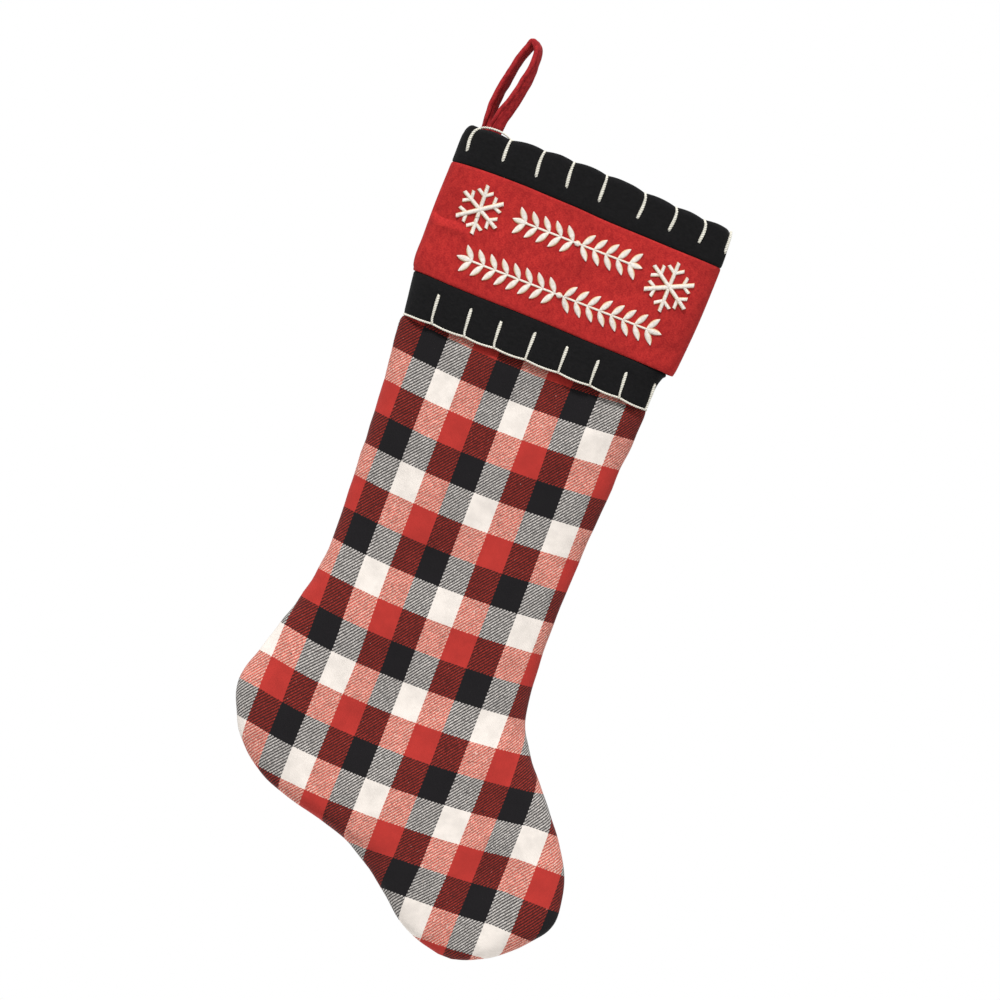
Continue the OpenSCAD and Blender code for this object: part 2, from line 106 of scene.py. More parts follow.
def ripple(x, z, seed, wavelength, height):
    """Gentle random waves over a flat place, the same each run."""
    rng = np.random.default_rng(seed)
    total = np.zeros(np.broadcast(x, z).shape)
    for _ in range(7):
        angle = rng.uniform(0, math.pi)
        k = 2 * math.pi / (wavelength * rng.uniform(0.7, 1.5))
        along = x * math.cos(angle) + z * math.sin(angle)
        total = total + np.sin(k * along + rng.uniform(0, 2 * math.pi))
    return height * total / 2.6


def resample(path, step, closed=False):
    """The same line with points about step apart."""
    path = np.asarray(path, float)
    if closed:
        path = np.vstack([path, path[:1]])
    length = np.concatenate([[0], np.cumsum(np.linalg.norm(np.diff(path, axis=0), axis=1))])
    count = max(3, int(round(length[-1] / step)) + 1)
    at = np.linspace(0, length[-1], count)
    even = np.array([np.interp(at, length, path[:, i]) for i in range(3)]).T
    return even[:-1] if closed else even


def soften(path, rounds, closed=False):
    """The line with its corners worn off."""
    path = np.array(path, float)
    for _ in range(rounds):
        before, after = np.roll(path, 1, 0), np.roll(path, -1, 0)
        new = path * 0.5 + (before + after) * 0.25
        if not closed:
            new[0], new[-1] = path[0], path[-1]
        path = new
    return path


def unit(v):
    return v / np.maximum(np.linalg.norm(v, axis=-1, keepdims=True), 1e-9)


# ---- meshes


def to_world(points):
    return (np.asarray(points, float) + [CUFF_MID, 0, FOLD_Z]) * MM


def make_mesh(name, points, quads, uv):
    """A smooth mesh of quads. uv is one place on the cloth per vertex, in millimetres."""
    mesh = bpy.data.meshes.new(name)
    quads = np.asarray(quads, np.int32)
    mesh.vertices.add(len(points))
    mesh.vertices.foreach_set("co", to_world(points).astype(np.float32).ravel())
    mesh.loops.add(quads.size)
    mesh.loops.foreach_set("vertex_index", quads.ravel())
    mesh.polygons.add(len(quads))
    mesh.polygons.foreach_set("loop_start", np.arange(0, quads.size, 4, dtype=np.int32))
    mesh.polygons.foreach_set("use_smooth", np.ones(len(quads), bool))
    layer = mesh.uv_layers.new(name="cloth")
    layer.data.foreach_set("uv", np.asarray(uv, np.float32)[quads.ravel()].ravel())
    mesh.update(calc_edges=True)
    mesh.validate()
    obj = bpy.data.objects.new(name, mesh)
    bpy.context.scene.collection.objects.link(obj)
    return obj


def grid_quads(rows, cols, closed_rows=False, closed_cols=False):
    """Quads of a grid whose vertex number is row * cols + column."""
    r = np.arange(rows if closed_rows else rows - 1)
    c = np.arange(cols if closed_cols else cols - 1)
    r, c = np.meshgrid(r, c, indexing="ij")
    r, c = r.ravel(), c.ravel()
    r2, c2 = (r + 1) % rows, (c + 1) % cols
    return np.stack([r * cols + c, r * cols + c2, r2 * cols + c2, r2 * cols + c], 1)


class Pile:
    """Many small meshes gathered into one piece."""

    def __init__(self):
        self.points, self.quads, self.places, self.count = [], [], [], 0

    def add(self, points, quads, places=None):
        points = np.asarray(points, float).reshape(-1, 3)
        self.points.append(points)
        self.quads.append(np.asarray(quads) + self.count)
        self.places.append(np.zeros((len(points), 2)) if places is None else places)
        self.count += len(points)

    def mesh(self, name):
        return make_mesh(name, np.vstack(self.points), np.vstack(self.quads), np.vstack(self.places))


def frames_of(path, closed=False):
    """Direction and two normals at each point of a line, without sudden turns."""
    if closed:
        along = unit(np.roll(path, -1, 0) - np.roll(path, 1, 0))
    else:
        along = unit(np.gradient(path, axis=0))
    first = np.cross(along[0], [0, 1, 0.1])
    if np.linalg.norm(first) < 1e-3:
        first = np.cross(along[0], [1, 0, 0])
    normals = [unit(first)]
    for t in along[1:]:
        n = normals[-1]
        normals.append(unit(n - (n @ t) * t))
    side = np.array(normals)
    return along, side, np.cross(along, side)


def tube(pile, path, radius, sides=6, closed=False):
    """A round tube along a line, with its ends drawn in to a point."""
    path = np.asarray(path, float)
    _, a, b = frames_of(path, closed)
    r = np.array(np.broadcast_to(radius, len(path)), float)
    if not closed:
        r[[1, -2]] *= 0.8
        r[[0, -1]] = 0.02
    turn = np.linspace(0, 2 * math.pi, sides, endpoint=False)
    ring = np.cos(turn)[None, :, None] * a[:, None] + np.sin(turn)[None, :, None] * b[:, None]
    points = path[:, None] + ring * r[:, None, None]
    pile.add(points, grid_quads(len(path), sides, closed, True))


def yarn(pile, path, radius=YARN_R, closed=False, thick=None):
    """Two-ply yarn: two strands twisted round the line. thick scales it along the line."""
    path = resample(path, YARN_STEP, closed)
    _, a, b = frames_of(path, closed)
    if thick is not None:
        radius = radius * thick(np.linspace(0, 1, len(path)))
    turns = 2 * math.pi * np.arange(len(path)) * YARN_STEP / YARN_TWIST
    if closed:
        whole = max(1, round(len(path) * YARN_STEP / YARN_TWIST))
        turns = 2 * math.pi * whole * np.arange(len(path)) / len(path)
    for phase in (0, math.pi):
        off = np.cos(turns + phase)[:, None] * a + np.sin(turns + phase)[:, None] * b
        off = off * np.broadcast_to(radius * 0.46, len(path))[:, None]
        tube(pile, path + off, radius * 0.58, 7, closed)


def dashes(pile, path, stitch, gap, radius, closed=False):
    """A row of running stitches along a line."""
    step = 0.4
    path = resample(path, step, closed)
    run, period = max(3, int(stitch / step)), max(4, int((stitch + gap) / step))
    for start in range(0, len(path) - run, period):
        tube(pile, path[start : start + run], radius, 5)


# ---- materials


BUMP_DISTANCE = 0.0004


class Shader:
    """A material's node tree, written as short expressions."""

    def __init__(self, name, roughness=0.92, sheen=0.0):
        self.material = bpy.data.materials.new(name)
        self.material.use_nodes = True
        self.tree = self.material.node_tree
        self.surface = self.tree.nodes["Principled BSDF"]
        self.surface.inputs["Roughness"].default_value = roughness
        self.surface.inputs["Specular IOR Level"].default_value = 0.2
        self.surface.inputs["Sheen Weight"].default_value = sheen
        self.surface.inputs["Sheen Roughness"].default_value = 0.5

    def put(self, socket, value):
        if isinstance(value, bpy.types.NodeSocket):
            self.tree.links.new(value, socket)
        else:
            socket.default_value = value

    def node(self, kind, inputs, **settings):
        """A new node's outputs. inputs holds a value or a socket for each input."""
        node = self.tree.nodes.new("ShaderNode" + kind)
        for name, value in settings.items():
            setattr(node, name, value)
        for name, value in inputs.items():
            self.put(node.inputs[name], value)
        return node.outputs

    def math(self, operation, a, b=0.0, c=0.0):
        return self.node("Math", {0: a, 1: b, 2: c}, operation=operation)[0]

    def plus(self, a, b):
        return self.math("ADD", a, b)

    def minus(self, a, b):
        return self.math("SUBTRACT", a, b)

    def times(self, a, b):
        return self.math("MULTIPLY", a, b)

    def ramp(self, value, low, high, to_low=0.0, to_high=1.0):
        inputs = {0: value, 1: low, 2: high, 3: to_low, 4: to_high}
        return self.node("MapRange", inputs, interpolation_type="SMOOTHSTEP")[0]

    def mix(self, factor, a, b, blend="MIX"):
        inputs = {"Factor": factor, 6: a, 7: b}
        return self.node("Mix", inputs, data_type="RGBA", blend_type=blend)[2]

    def tint(self, a, b):
        """One colour seen through the other."""
        return self.mix(1.0, a, b, "MULTIPLY")

    def cloth_place(self):
        return self.node("UVMap", {}, uv_map="cloth")[0]

    def object_place(self):
        return self.scaled(self.node("TexCoord", {})["Object"], (1 / MM, 1 / MM, 1 / MM))

    def scaled(self, vector, scale, turn=0.0):
        rotation = (0, 0, math.radians(turn))
        return self.node("Mapping", {"Vector": vector, "Scale": scale, "Rotation": rotation})[0]

    def split(self, vector):
        outputs = self.node("SeparateXYZ", {0: vector})
        return outputs[0], outputs[1]

    def join(self, x, y):
        return self.node("CombineXYZ", {0: x, 1: y})[0]

    def noise(self, vector, scale, detail=2.0, roughness=0.55):
        inputs = {"Vector": vector, "Scale": scale, "Detail": detail, "Roughness": roughness}
        return self.node("TexNoise", inputs)["Fac"]

    def random(self, value):
        inputs = {"Vector": self.join(value, 0.0)}
        return self.node("TexWhiteNoise", inputs, noise_dimensions="2D")["Value"]

    def shade(self, colour, value):
        """The colour made value times as bright."""
        return self.node("VectorMath", {0: colour, "Scale": value}, operation="SCALE")[0]

    def brightness(self, colour):
        return self.node("RGBToBW", {0: colour})[0]

    def difference(self, a, b):
        """How far apart two colours are."""
        return self.node("VectorMath", {0: a, 1: b}, operation="DISTANCE")["Value"]

    def bump(self, height, strength):
        inputs = {"Strength": strength, "Distance": BUMP_DISTANCE, "Height": height}
        self.put(self.surface.inputs["Normal"], self.node("Bump", inputs)[0])

    def finish(self, colour):
        self.put(self.surface.inputs["Base Color"], colour)
        return self.material


def linear(r, g, b):
    """A screen colour from 0 to 255 as the light it stands for."""
    parts = [c / 255 for c in (r, g, b)]
    return tuple(p / 12.92 if p <= 0.04045 else ((p + 0.055) / 1.055) ** 2.4 for p in parts) + (1.0,)


def stripe_colour(s, index, black, first, second):
    """Black, first or second by a stripe number that counts 0, 1, 2."""
    low = s.mix(s.math("GREATER_THAN", index, 0.5), black, first)
    return s.mix(s.math("GREATER_THAN", index, 1.5), low, second)


def twill_rise(s, fu, fv, d, warp_up):
    """Height of the upper yarn, which arches over the two yarns that it crosses."""
    arches = []
    for along, across, shift in ((fv, fu, s.minus(1.0, d)), (fu, fv, s.minus(d, 2.0))):
        phase = s.times(s.plus(shift, along), 0.5)
        arch = s.math("SINE", s.times(phase, math.pi))
        arches.append(s.times(arch, s.math("SINE", s.times(across, math.pi))))
    return s.plus(s.times(arches[0], warp_up), s.times(arches[1], s.minus(1.0, warp_up)))


def twill_colour(s, upper, under):
    """The upper yarn's colour, and a little of the yarn below it."""
    upper_light = s.brightness(upper)
    hidden = s.ramp(s.brightness(under), 0.02, 0.15, 0.25, 0.38)
    hidden = s.ramp(upper_light, 0.16, 0.85, 0.52, hidden)
    bleed = s.ramp(upper_light, 0.02, 0.15, 0.06, 0.085)
    return s.mix(1.0, s.mix(hidden, upper, s.tint(upper, under)), s.shade(under, bleed), "ADD")


def yarn_tone(s, place, i, j, warp_up):
    """Brightness along each yarn, which is spun thick and thin."""
    u, v = s.split(place)
    warp = s.noise(s.join(s.times(i, 3.7), s.times(v, 0.7)), 1.0, 1.0)
    weft = s.noise(s.join(s.times(u, 0.7), s.times(j, 4.3)), 1.0, 1.0)
    tone = s.ramp(s.mix(warp_up, weft, warp), 0.34, 0.66, 0.64, 1.2)
    return s.times(tone, s.ramp(s.noise(place, 1.35, 1.0), 0.34, 0.66, 0.8, 1.14))


def stripe_number(s, yarn_number):
    """0, 1 or 2: which of the three stripes a yarn belongs to."""
    return s.math("FLOORED_MODULO", s.math("FLOOR", s.math("DIVIDE", yarn_number, float(YARNS))), 3.0)


def flannel_material():
    """Checked twill: the upper yarn at each crossing gives the colour, over two and under two."""
    s = Shader("checked_flannel", 0.95, 0.12)
    black, white, red = linear(33, 30, 33), linear(240, 233, 226), linear(198, 68, 60)
    place = s.cloth_place()
    u, v = s.split(place)
    warp_drift = s.times(s.minus(s.noise(place, 1.1, 2.0), 0.5), 1.1)
    weft_drift = s.times(s.minus(s.noise(place, 0.55, 2.0), 0.5), 1.3)
    warp = s.plus(s.math("DIVIDE", u, COLUMN_WIDTH / YARNS), warp_drift)
    weft = s.plus(s.math("DIVIDE", v, ROW_HEIGHT / YARNS), weft_drift)
    i, j = s.math("FLOOR", warp), s.math("FLOOR", weft)
    d = s.math("FLOORED_MODULO", s.minus(i, j), 4.0)
    warp_up = s.math("LESS_THAN", d, 1.5)
    warp_stripe, weft_stripe = stripe_number(s, i), stripe_number(s, j)
    warp_tint = stripe_colour(s, warp_stripe, black, white, red)
    weft_tint = stripe_colour(s, weft_stripe, black, red, white)
    mixed = s.math("GREATER_THAN", s.difference(warp_tint, weft_tint), 0.02)
    upper, under = s.mix(warp_up, weft_tint, warp_tint), s.mix(warp_up, warp_tint, weft_tint)
    colour = twill_colour(s, upper, under)
    colour = s.mix(mixed, colour, s.tint(colour, yarn_tone(s, place, i, j, warp_up)))
    red_warp = s.math("COMPARE", warp_stripe, 2.0, 0.5)
    red_weft = s.math("COMPARE", weft_stripe, 1.0, 0.5)
    warm = s.times(s.math("MAXIMUM", red_warp, red_weft), mixed)
    colour = s.mix(warm, colour, s.tint(colour, (1.14, 0.95, 0.82, 1.0)))
    rise = twill_rise(s, s.minus(warp, i), s.minus(weft, j), d, warp_up)
    # Painted shade: each yarn is darker where it dips under its neighbours, more so in mixed cells.
    hollow_shade = s.minus(0.94, s.times(mixed, 0.14))
    colour = s.shade(colour, s.ramp(rise, 0.0, 0.8, hollow_shade, 1.04))
    nep = s.ramp(s.noise(s.scaled(place, (1.0, 0.6, 1.0), 20), 0.55, 1.0), 0.66, 0.74)
    light = s.math("GREATER_THAN", s.brightness(colour), 0.10)
    nep = s.times(s.times(nep, 0.5), s.times(mixed, light))
    colour = s.mix(nep, colour, linear(244, 226, 214))
    fleck = s.ramp(s.noise(s.scaled(place, (0.5, 0.9, 1.0), 8), 0.6, 1.0), 0.68, 0.76)
    colour = s.mix(s.times(s.times(fleck, 0.55), mixed), colour, linear(48, 26, 30))
    colour = s.shade(colour, s.ramp(s.noise(place, 0.09, 3.0), 0.3, 0.7, 0.93, 1.07))
    s.bump(s.plus(rise, s.noise(place, 1.7, 3.0)), 0.28)
    return s.finish(colour)


def felt_material(name, dark, light, streak, streak_share, sheen):
    """Pressed fibres: fine crossed hairs, with soft cloudy patches."""
    s = Shader(name, 0.96, sheen)
    place = s.cloth_place()
    hairs = s.noise(s.scaled(place, (0.35, 1.5, 1.0), 62), 1.6, 3.0, 0.7)
    crossed = s.noise(s.scaled(place, (1.5, 0.35, 1.0), 35), 1.4, 3.0, 0.7)
    cloud = s.noise(place, 0.045, 3.0)
    patch = s.noise(place, 0.28, 2.0)
    tone = s.plus(s.plus(s.times(hairs, 0.45), s.times(crossed, 0.3)), s.times(patch, 0.25))
    colour = s.mix(s.ramp(tone, 0.38, 0.62), dark, light)
    colour = s.shade(colour, s.ramp(cloud, 0.3, 0.7, 0.92, 1.08))
    lint = s.ramp(s.noise(s.scaled(place, (0.25, 2.2, 1.0), 48), 0.8, 4.0, 0.75), 0.62, 0.74)
    colour = s.mix(s.times(lint, streak_share), colour, streak)
    s.bump(s.plus(hairs, crossed), 0.35)
    return s.finish(colour)


def cotton_material(name, dark, light):
    """Plain weave with soft uneven colour, and painted shade where the threads dip at their crossings.
    """
    s = Shader(name, 0.85, 0.05)
    place = s.cloth_place()
    turns = 2 * math.pi / 0.42
    warp, weft = (s.math("SINE", s.times(way, turns)) for way in s.split(place))
    weave = s.times(warp, weft)
    tone = s.noise(s.scaled(place, (1.0, 0.5, 1.0)), 0.5, 3.0, 0.6)
    colour = s.mix(s.ramp(tone, 0.35, 0.65), dark, light)
    # Painted shade: brightness that follows the weave's over and under.
    colour = s.shade(colour, s.ramp(weave, -1.0, 1.0, 0.9, 1.06))
    s.bump(s.plus(s.times(weave, 0.4), s.noise(place, 2.0, 3.0)), 0.3)
    return s.finish(colour)


def thread_material(name, dark, light, roughness=0.7):
    """Spun thread with fine fibre tone."""
    s = Shader(name, roughness, 0.1)
    tone = s.noise(s.object_place(), 1.3, 3.0, 0.6)
    colour = s.mix(s.ramp(tone, 0.35, 0.65), dark, light)
    s.bump(s.noise(s.object_place(), 5.0, 2.0), 0.25)
    return s.finish(colour)


def satin_material(name):
    """Rayon thread: each strand is white in its middle, with painted golden shade at both ends where it
    dives into the felt.
    """
    s = Shader(name, 0.4, 0.3)
    along, strand = s.split(s.cloth_place())
    tone = s.random(strand)
    body = s.mix(tone, linear(242, 232, 219), linear(255, 251, 244))
    # Painted shade: golden at the strand's first end.
    colour = s.mix(s.ramp(along, 0.0, 0.34, 0.95, 0.0), body, linear(232, 186, 124))
    # Painted shade: pinkish brown at the strand's other end.
    colour = s.mix(s.ramp(along, 0.74, 1.0, 0.0, 0.7), colour, linear(214, 168, 140))
    return s.finish(colour)


def dress(obj, material, slot, *nodes):
    """Gives a piece its material and hides the CAD nodes that it stands for. slot is not used."""
    obj.data.materials.clear()
    obj.data.materials.append(material)
    if nodes:
        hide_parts(*nodes)
    return obj


# ---- the cuff's shape

TOP_EDGE = smooth_line(
    (-95, 1.2), (-87, 1.8), (-62, 2.1), (-50, 3.0), (-39, 3.4), (-19, 3.6), (-7, 3.5), (4, 3.2),
    (18, 2.5), (31, 1.5), (43, 0.7), (53, 0.2), (64, -0.5), (73, -0.8), (95, -1.1),
)
UPPER_SEAM = smooth_line(
    (-95, -24.6), (-84, -23.9), (-66, -23.1), (-42, -22.95), (-24, -23.5), (-6, -23.9),
    (12, -25.0), (36, -25.5), (66, -26.2), (95, -26.4),
)
LOWER_SEAM = smooth_line(
    (-95, -99.4), (-84, -99.6), (-72, -100.2), (-54, -100.7), (-18, -100.9), (0, -101.2),
    (36, -102.2), (54, -102.4), (84, -103.1), (95, -103.3),
)
LOWER_EDGE = smooth_line(
    (-88, -127.6), (-67, -128.2), (20, -128.2), (43, -128.6), (64, -129.1), (83, -130.1)
)
SIDES = (
    smooth_line(
        (0, -93.3), (0.3, -93.6), (1.0, -93.6), (1.42, -94.0), (1.7, -93.6), (1.92, -93.2), (2.0, -91.8)
    ),
    smooth_line(
        (0, 93.6), (0.3, 94.2), (0.9, 94.9), (1.26, 94.7), (1.47, 94.3), (1.7, 93.3), (1.9, 92.1),
        (2.0, 91.3),
    ),
)
LOW_SIDES = (
    smooth_line((2, -90.6), (2.25, -89.8), (2.5, -88.8), (3, -86.9)),
    smooth_line((2, 86.8), (2.14, 85.2), (2.29, 83.9), (2.42, 83.3), (2.6, 83.1), (3, 83.0)),
)
HALF_DEPTH = 13.0
LOW_HALF_DEPTH = 12.6
SQUARE = 8
SKIRT_IN = 5.4
FOLD_R = (SKIRT_IN + FELT_T) / 2
SKIRT_DROP = 11.9
CORNER = 5.0
# Blanket stitches on the front: x at the edge, a third of the way and at the end, and the end's height
UPPER_STITCHES = (
    (-83.1, -87.2, -86.5, -15.5), (-62.2, -62.8, -62.5, -13.6), (-38.8, -39.8, -38.7, -15.3),
    (-18.7, -19.0, -17.8, -14.7), (4.0, 4.7, 5.0, -15.4), (30.9, 32.8, 32.2, -16.7),
    (53.0, 54.9, 54.1, -16.7), (72.8, 75.5, 75.0, -16.9), (92.2, 92.9, 93.3, -16.5),
)
LOWER_STITCHES = (
    (-66.8, -68.6, -69.6, -108.6), (-44.3, -45.8, -46.8, -109.5), (-23.8, -25.1, -25.7, -110.1),
    (-2.4, -2.6, -2.6, -108.7), (20.6, 20.3, 20.2, -109.9), (42.7, 42.2, 42.1, -110.8),
    (63.5, 62.5, 61.7, -111.5), (82.0, 82.2, 81.8, -111.5),
)
UPPER_ROOTS = np.array([s[0] for s in UPPER_STITCHES])
LOWER_ROOTS = np.array([s[0] for s in LOWER_STITCHES])
BACK_PITCH = 23.0
# Soft creases of the centre band's front: two ends, depth, half width
CREASES = (
    ((-97, -58.5), (-60, -62), 1.8, 1.7),
    ((-62, -64), (-50, -99), 0.7, 4.0),
    ((-97, -77), (-72, -84), 0.5, 3.5),
    ((97, -42), (70, -30), 0.6, 4.0),
    ((96, -84), (72, -92), 0.7, 3.0),
    ((20, -66), (62, -62), 0.8, 7.0),
    ((-30, -92), (30, -90), 0.5, 8.0),
)


def from_nearest(x, places):
    """Distance to the nearest of some places along the cuff."""
    return np.abs(np.asarray(x)[..., None] - places).min(-1)


def scallop(x, roots, depth):
    """How far an edge bows out between the stitches that hold it in."""
    return depth * (1 - (1 - np.clip(from_nearest(x, roots) / 11, 0, 1)) ** 2)


def level_z(x, level):
    """Height of the cuff's line at a level: 0 the top, 1 and 2 the seams, 3 the lower edge."""
    lines = [
        TOP_EDGE(x) + scallop(x, UPPER_ROOTS, 1.3) - 0.5,
        UPPER_SEAM(x),
        LOWER_SEAM(x),
        LOWER_EDGE(x) - scallop(x, LOWER_ROOTS, 0.9) + 0.3,
    ]
    level = np.clip(level, 0, 3)
    low = np.minimum(np.floor(level), 2).astype(int)
    share = level - low
    lines = np.array([np.broadcast_to(line, np.shape(x)) for line in lines])
    a = np.take_along_axis(lines, np.broadcast_to(low, np.shape(x))[None], 0)[0]
    b = np.take_along_axis(lines, np.broadcast_to(low + 1, np.shape(x))[None], 0)[0]
    return a + (b - a) * share


def level_of(x, z):
    """The level at a place on the cuff."""
    top, up, low, edge = TOP_EDGE(x), UPPER_SEAM(x), LOWER_SEAM(x), LOWER_EDGE(x)
    return np.where(
        z > up,
        np.clip((top - z) / (top - up), 0, 1),
        np.where(z > low, 1 + (up - z) / (up - low), np.clip(2 + (low - z) / (low - edge), 2, 3)),
    )


SINK_DEPTH = 4.4


def crease_depth(x, z):
    """How far creases press the red felt in. Its left end sinks towards its crease."""
    total = np.zeros(np.shape(x))
    for (ax, az), (bx, bz), depth, width in CREASES:
        d = np.array([bx - ax, bz - az])
        length = np.linalg.norm(d)
        d = d / length
        along = ((x - ax) * d[0] + (z - az) * d[1]) / length
        off = (x - ax) * -d[1] + (z - az) * d[0]
        off = off if d[0] > 0 else -off
        fade = np.clip(1.05 - np.clip(along, 0, 2), 0, 1) * (along > -0.3)
        roll = 0.9 * around(off, -2.6 * width, 2.2 * width)
        total += depth * fade * (roll - around(off, 0, width))
    sink = np.interp(z, (-66, -59, -26), (0, 1, 0)) * np.clip((-62 - x) / 20, 0, 1)
    return total - SINK_DEPTH * sink


def stitch_line(root, middle, tip):
    """x of a blanket stitch by the share of its length. It bends most close to the edge."""
    return smooth_line((0, root), (0.13, (root + 2 * middle) / 3), (0.35, middle), (1, tip))


def stitch_dip(x, z, stitches, top):
    """How deep the blanket stitches pull into the felt."""
    total = np.zeros(np.shape(x))
    edge = TOP_EDGE(x) if top else LOWER_EDGE(x)
    for root, middle, tip, end in stitches:
        run = (z - edge) / (end - edge)
        line = stitch_line(root, middle, tip)(run)
        reach = np.clip((1.12 - run) * 5, 0, 1)
        total -= reach * (0.6 * around(x, line, 1.7) + 0.35 * around(x, line, 5.0))
    return total


def puff(x, z, front):
    """How far the soft felt stands out from the cuff's plain outline."""
    level = level_of(x, z)
    swell = np.abs(np.sin(math.pi * level)) * np.where(level < 1, 0.5, np.where(level < 2, 0.9, 0.5))
    seed = 11 if front else 23
    total = swell + ripple(x, z, seed, 62, 0.55) + ripple(x, z, seed + 1, 24, 0.16)
    if front:
        total = total + stitch_dip(x, z, UPPER_STITCHES, True) * (level < 1)
        total = total + stitch_dip(x, z, LOWER_STITCHES, False) * (level > 2)
        total = total + crease_depth(x, z) * ((level > 0.98) & (level < 2.02))
    return total


def puff_share(bulge):
    """How much of the puff is left where the cuff curves back to its sides."""
    return np.clip(bulge * 1.4 - 0.1, 0, 1)


HALF_WIDTH = 93.5


def ring_shape(count):
    """Places round the cuff, evenly spaced: part of the half width, bulge and side."""
    a = np.linspace(0, math.pi, 6001)
    u, b = -np.cos(a), (1 - np.abs(np.cos(a)) ** SQUARE) ** 0.5
    length = np.concatenate([[0], np.cumsum(np.hypot(np.diff(u * HALF_WIDTH), np.diff(b * HALF_DEPTH)))])
    at = np.linspace(0, length[-1], count // 2 + 1)
    u, b = np.interp(at, length, u), np.interp(at, length, b)
    side = np.concatenate([-np.ones(len(u)), np.ones(len(u) - 2)])
    return np.concatenate([u, u[-2:0:-1]]), np.concatenate([b, b[-2:0:-1]]), side


RING_COUNT = 440
RING_U, RING_B, RING_SIDE = ring_shape(RING_COUNT)


def cuff_ring(level, shift=0.0, inset=0.0, low=False):
    """One closed line round the cuff, shift above a level and inset inside its outline."""
    sides, depth = (LOW_SIDES, LOW_HALF_DEPTH) if low else (SIDES, HALF_DEPTH)
    left, right = float(sides[0](level)), float(sides[1](level))
    x = left + inset + (right - left - 2 * inset) * (RING_U + 1) / 2
    z = level_z(x, level) + shift
    from_side = np.minimum(x - left, right - x) - min(inset, 0)
    near = np.clip(CORNER - from_side, 0, CORNER)
    z = z - (CORNER - np.sqrt(CORNER**2 - near**2)) * np.clip(1 - 1.5 * level, 0, 1)
    soft = np.where(RING_SIDE < 0, puff(x, z, True), puff(x, z, False)) * np.clip(3 - inset / 1.8, 0, 1)
    return np.stack([x, RING_SIDE * ((depth - inset) * RING_B + soft * puff_share(RING_B)), z], 1)


def face_y(x, z, side):
    """y of the felt's face at a place on the cuff. side is -1 for the front."""
    level = level_of(x, z)
    low = level > 2
    left, right = (np.where(low, LOW_SIDES[k](level), SIDES[k](level)) for k in (0, 1))
    u = np.clip((2 * x - left - right) / (right - left), -1, 1)
    b = (1 - np.abs(u) ** SQUARE) ** 0.5
    depth = np.where(low, LOW_HALF_DEPTH, HALF_DEPTH)
    return side * (depth * b + puff(x, z, side < 0) * puff_share(b))


def band_mesh(name, section):
    """A closed felt band. section lists (level, shift, inset, low) round the cloth's edge."""
    rings = np.array([cuff_ring(level, shift, inset, low) for level, shift, inset, low in section])
    count = len(section)
    girth = np.concatenate([[0], np.cumsum(np.linalg.norm(np.diff(rings[0], axis=0), axis=1))])
    rise = [0.0]
    for a, b in zip(section[:-1], section[1:]):
        rise.append(rise[-1] + abs(b[0] - a[0]) * 50 + abs(b[1] - a[1]) + abs(b[2] - a[2]))
    uv = np.stack(np.broadcast_arrays(girth[None, :], np.array(rise)[:, None]), 2).reshape(-1, 2)
    quads = grid_quads(count, RING_COUNT, True, True)
    return make_mesh(name, rings.reshape(-1, 3), quads[:, ::-1], uv)


def edge_roll(level, way, low=False):
    """The rounded edge of a band beside a seam: way is 1 when the band lies above the seam."""
    turns = [(0.05, 0.8), (0.3, 0.42), (0.85, 0.15), (1.8, 0.03)]
    return [(level, way * shift, inset, low) for shift, inset in turns]


def face_rows(start, end, count, low=False):
    return [(start + (end - start) * (k + 1) / (count + 1), 0.0, 0.0, low) for k in range(count)]


def cuff_upper_band(material):
    """Up the outside, over the fold and down inside the mouth."""
    inner, skirt = FOLD_R - FELT_T, SKIRT_IN + FELT_T
    section = edge_roll(1.0, 1)
    section += [(0.9 - 0.72 * k / 9, 0.0, 0.0, False) for k in range(10)]
    for reach, angles in ((FOLD_R, np.linspace(0, 180, 13)), (inner, np.linspace(180, 0, 9))):
        section += [
            (0.0, reach * math.sin(a) - FOLD_R, FOLD_R - reach * math.cos(a), False)
            for a in np.radians(angles)
        ]
        if reach == FOLD_R:
            section += [(0.0, -FOLD_R - d, skirt, False) for d in (3, 6, 9, 11.2)]
            section += [(0.0, -FOLD_R - SKIRT_DROP, SKIRT_IN + FELT_T / 2, False)]
            section += [(0.0, -FOLD_R - d, SKIRT_IN, False) for d in (11.2, 6, 3)]
    section += [(0.3, 0.0, FELT_T, False), (0.7, 0.0, FELT_T, False), (1.0, 0.2, FELT_T + 0.1, False)]
    return dress(band_mesh("cuff_upper_felt", section), material, "black_felt", "cuff_upper_band")


def cuff_centre_band(material):
    section = edge_roll(2.0, 1) + face_rows(1.97, 1.03, 60) + edge_roll(1.0, -1)[::-1]
    section += [(1.0, -0.3, FELT_T, False), (1.3, 0.0, FELT_T, False)]
    section += [(1.7, 0.0, FELT_T, False), (2.0, 0.3, FELT_T, False)]
    return dress(band_mesh("cuff_centre_felt", section), material, "red_felt", "cuff_centre_band")


def cuff_lower_band(material):
    section = [(3.0, 0.1, 0.9, True), (3.0, 0.45, 0.35, True), (3.0, 1.1, 0.06, True)]
    section += face_rows(2.95, 2.06, 14, True)
    section += edge_roll(2.0, -1, True)[::-1]
    section += [(2.0, 1.2, 1.6, True), (2.0, 1.0, FELT_T + 0.6, True), (2.2, 0.0, FELT_T, True)]
    section += [(2.6, 0.0, FELT_T, True), (3.0, 0.5, FELT_T, True)]
    return dress(band_mesh("cuff_lower_felt", section), material, "black_felt", "cuff_lower_band")


def cuff_facing(material):
    """Cotton behind the felt, from the fold to just above the lower edge."""
    levels = (2.93, 2.5, 2.1, 1.95, 1.8, 1.65, 1.5, 1.35, 1.2, 1.05, 0.9, 0.6, 0.2)
    section = [(v, 0.0, 1.9 + 0.8 * (v < 2), v > 2) for v in levels]
    section += [(v, 0.0, 1.9 + FACING_T + 0.8 * (v < 2), v > 2) for v in levels[::-1]]
    return dress(band_mesh("cuff_facing_cotton", section), material, "crimson_facing", "cuff_facing")


# ---- the sock's shape

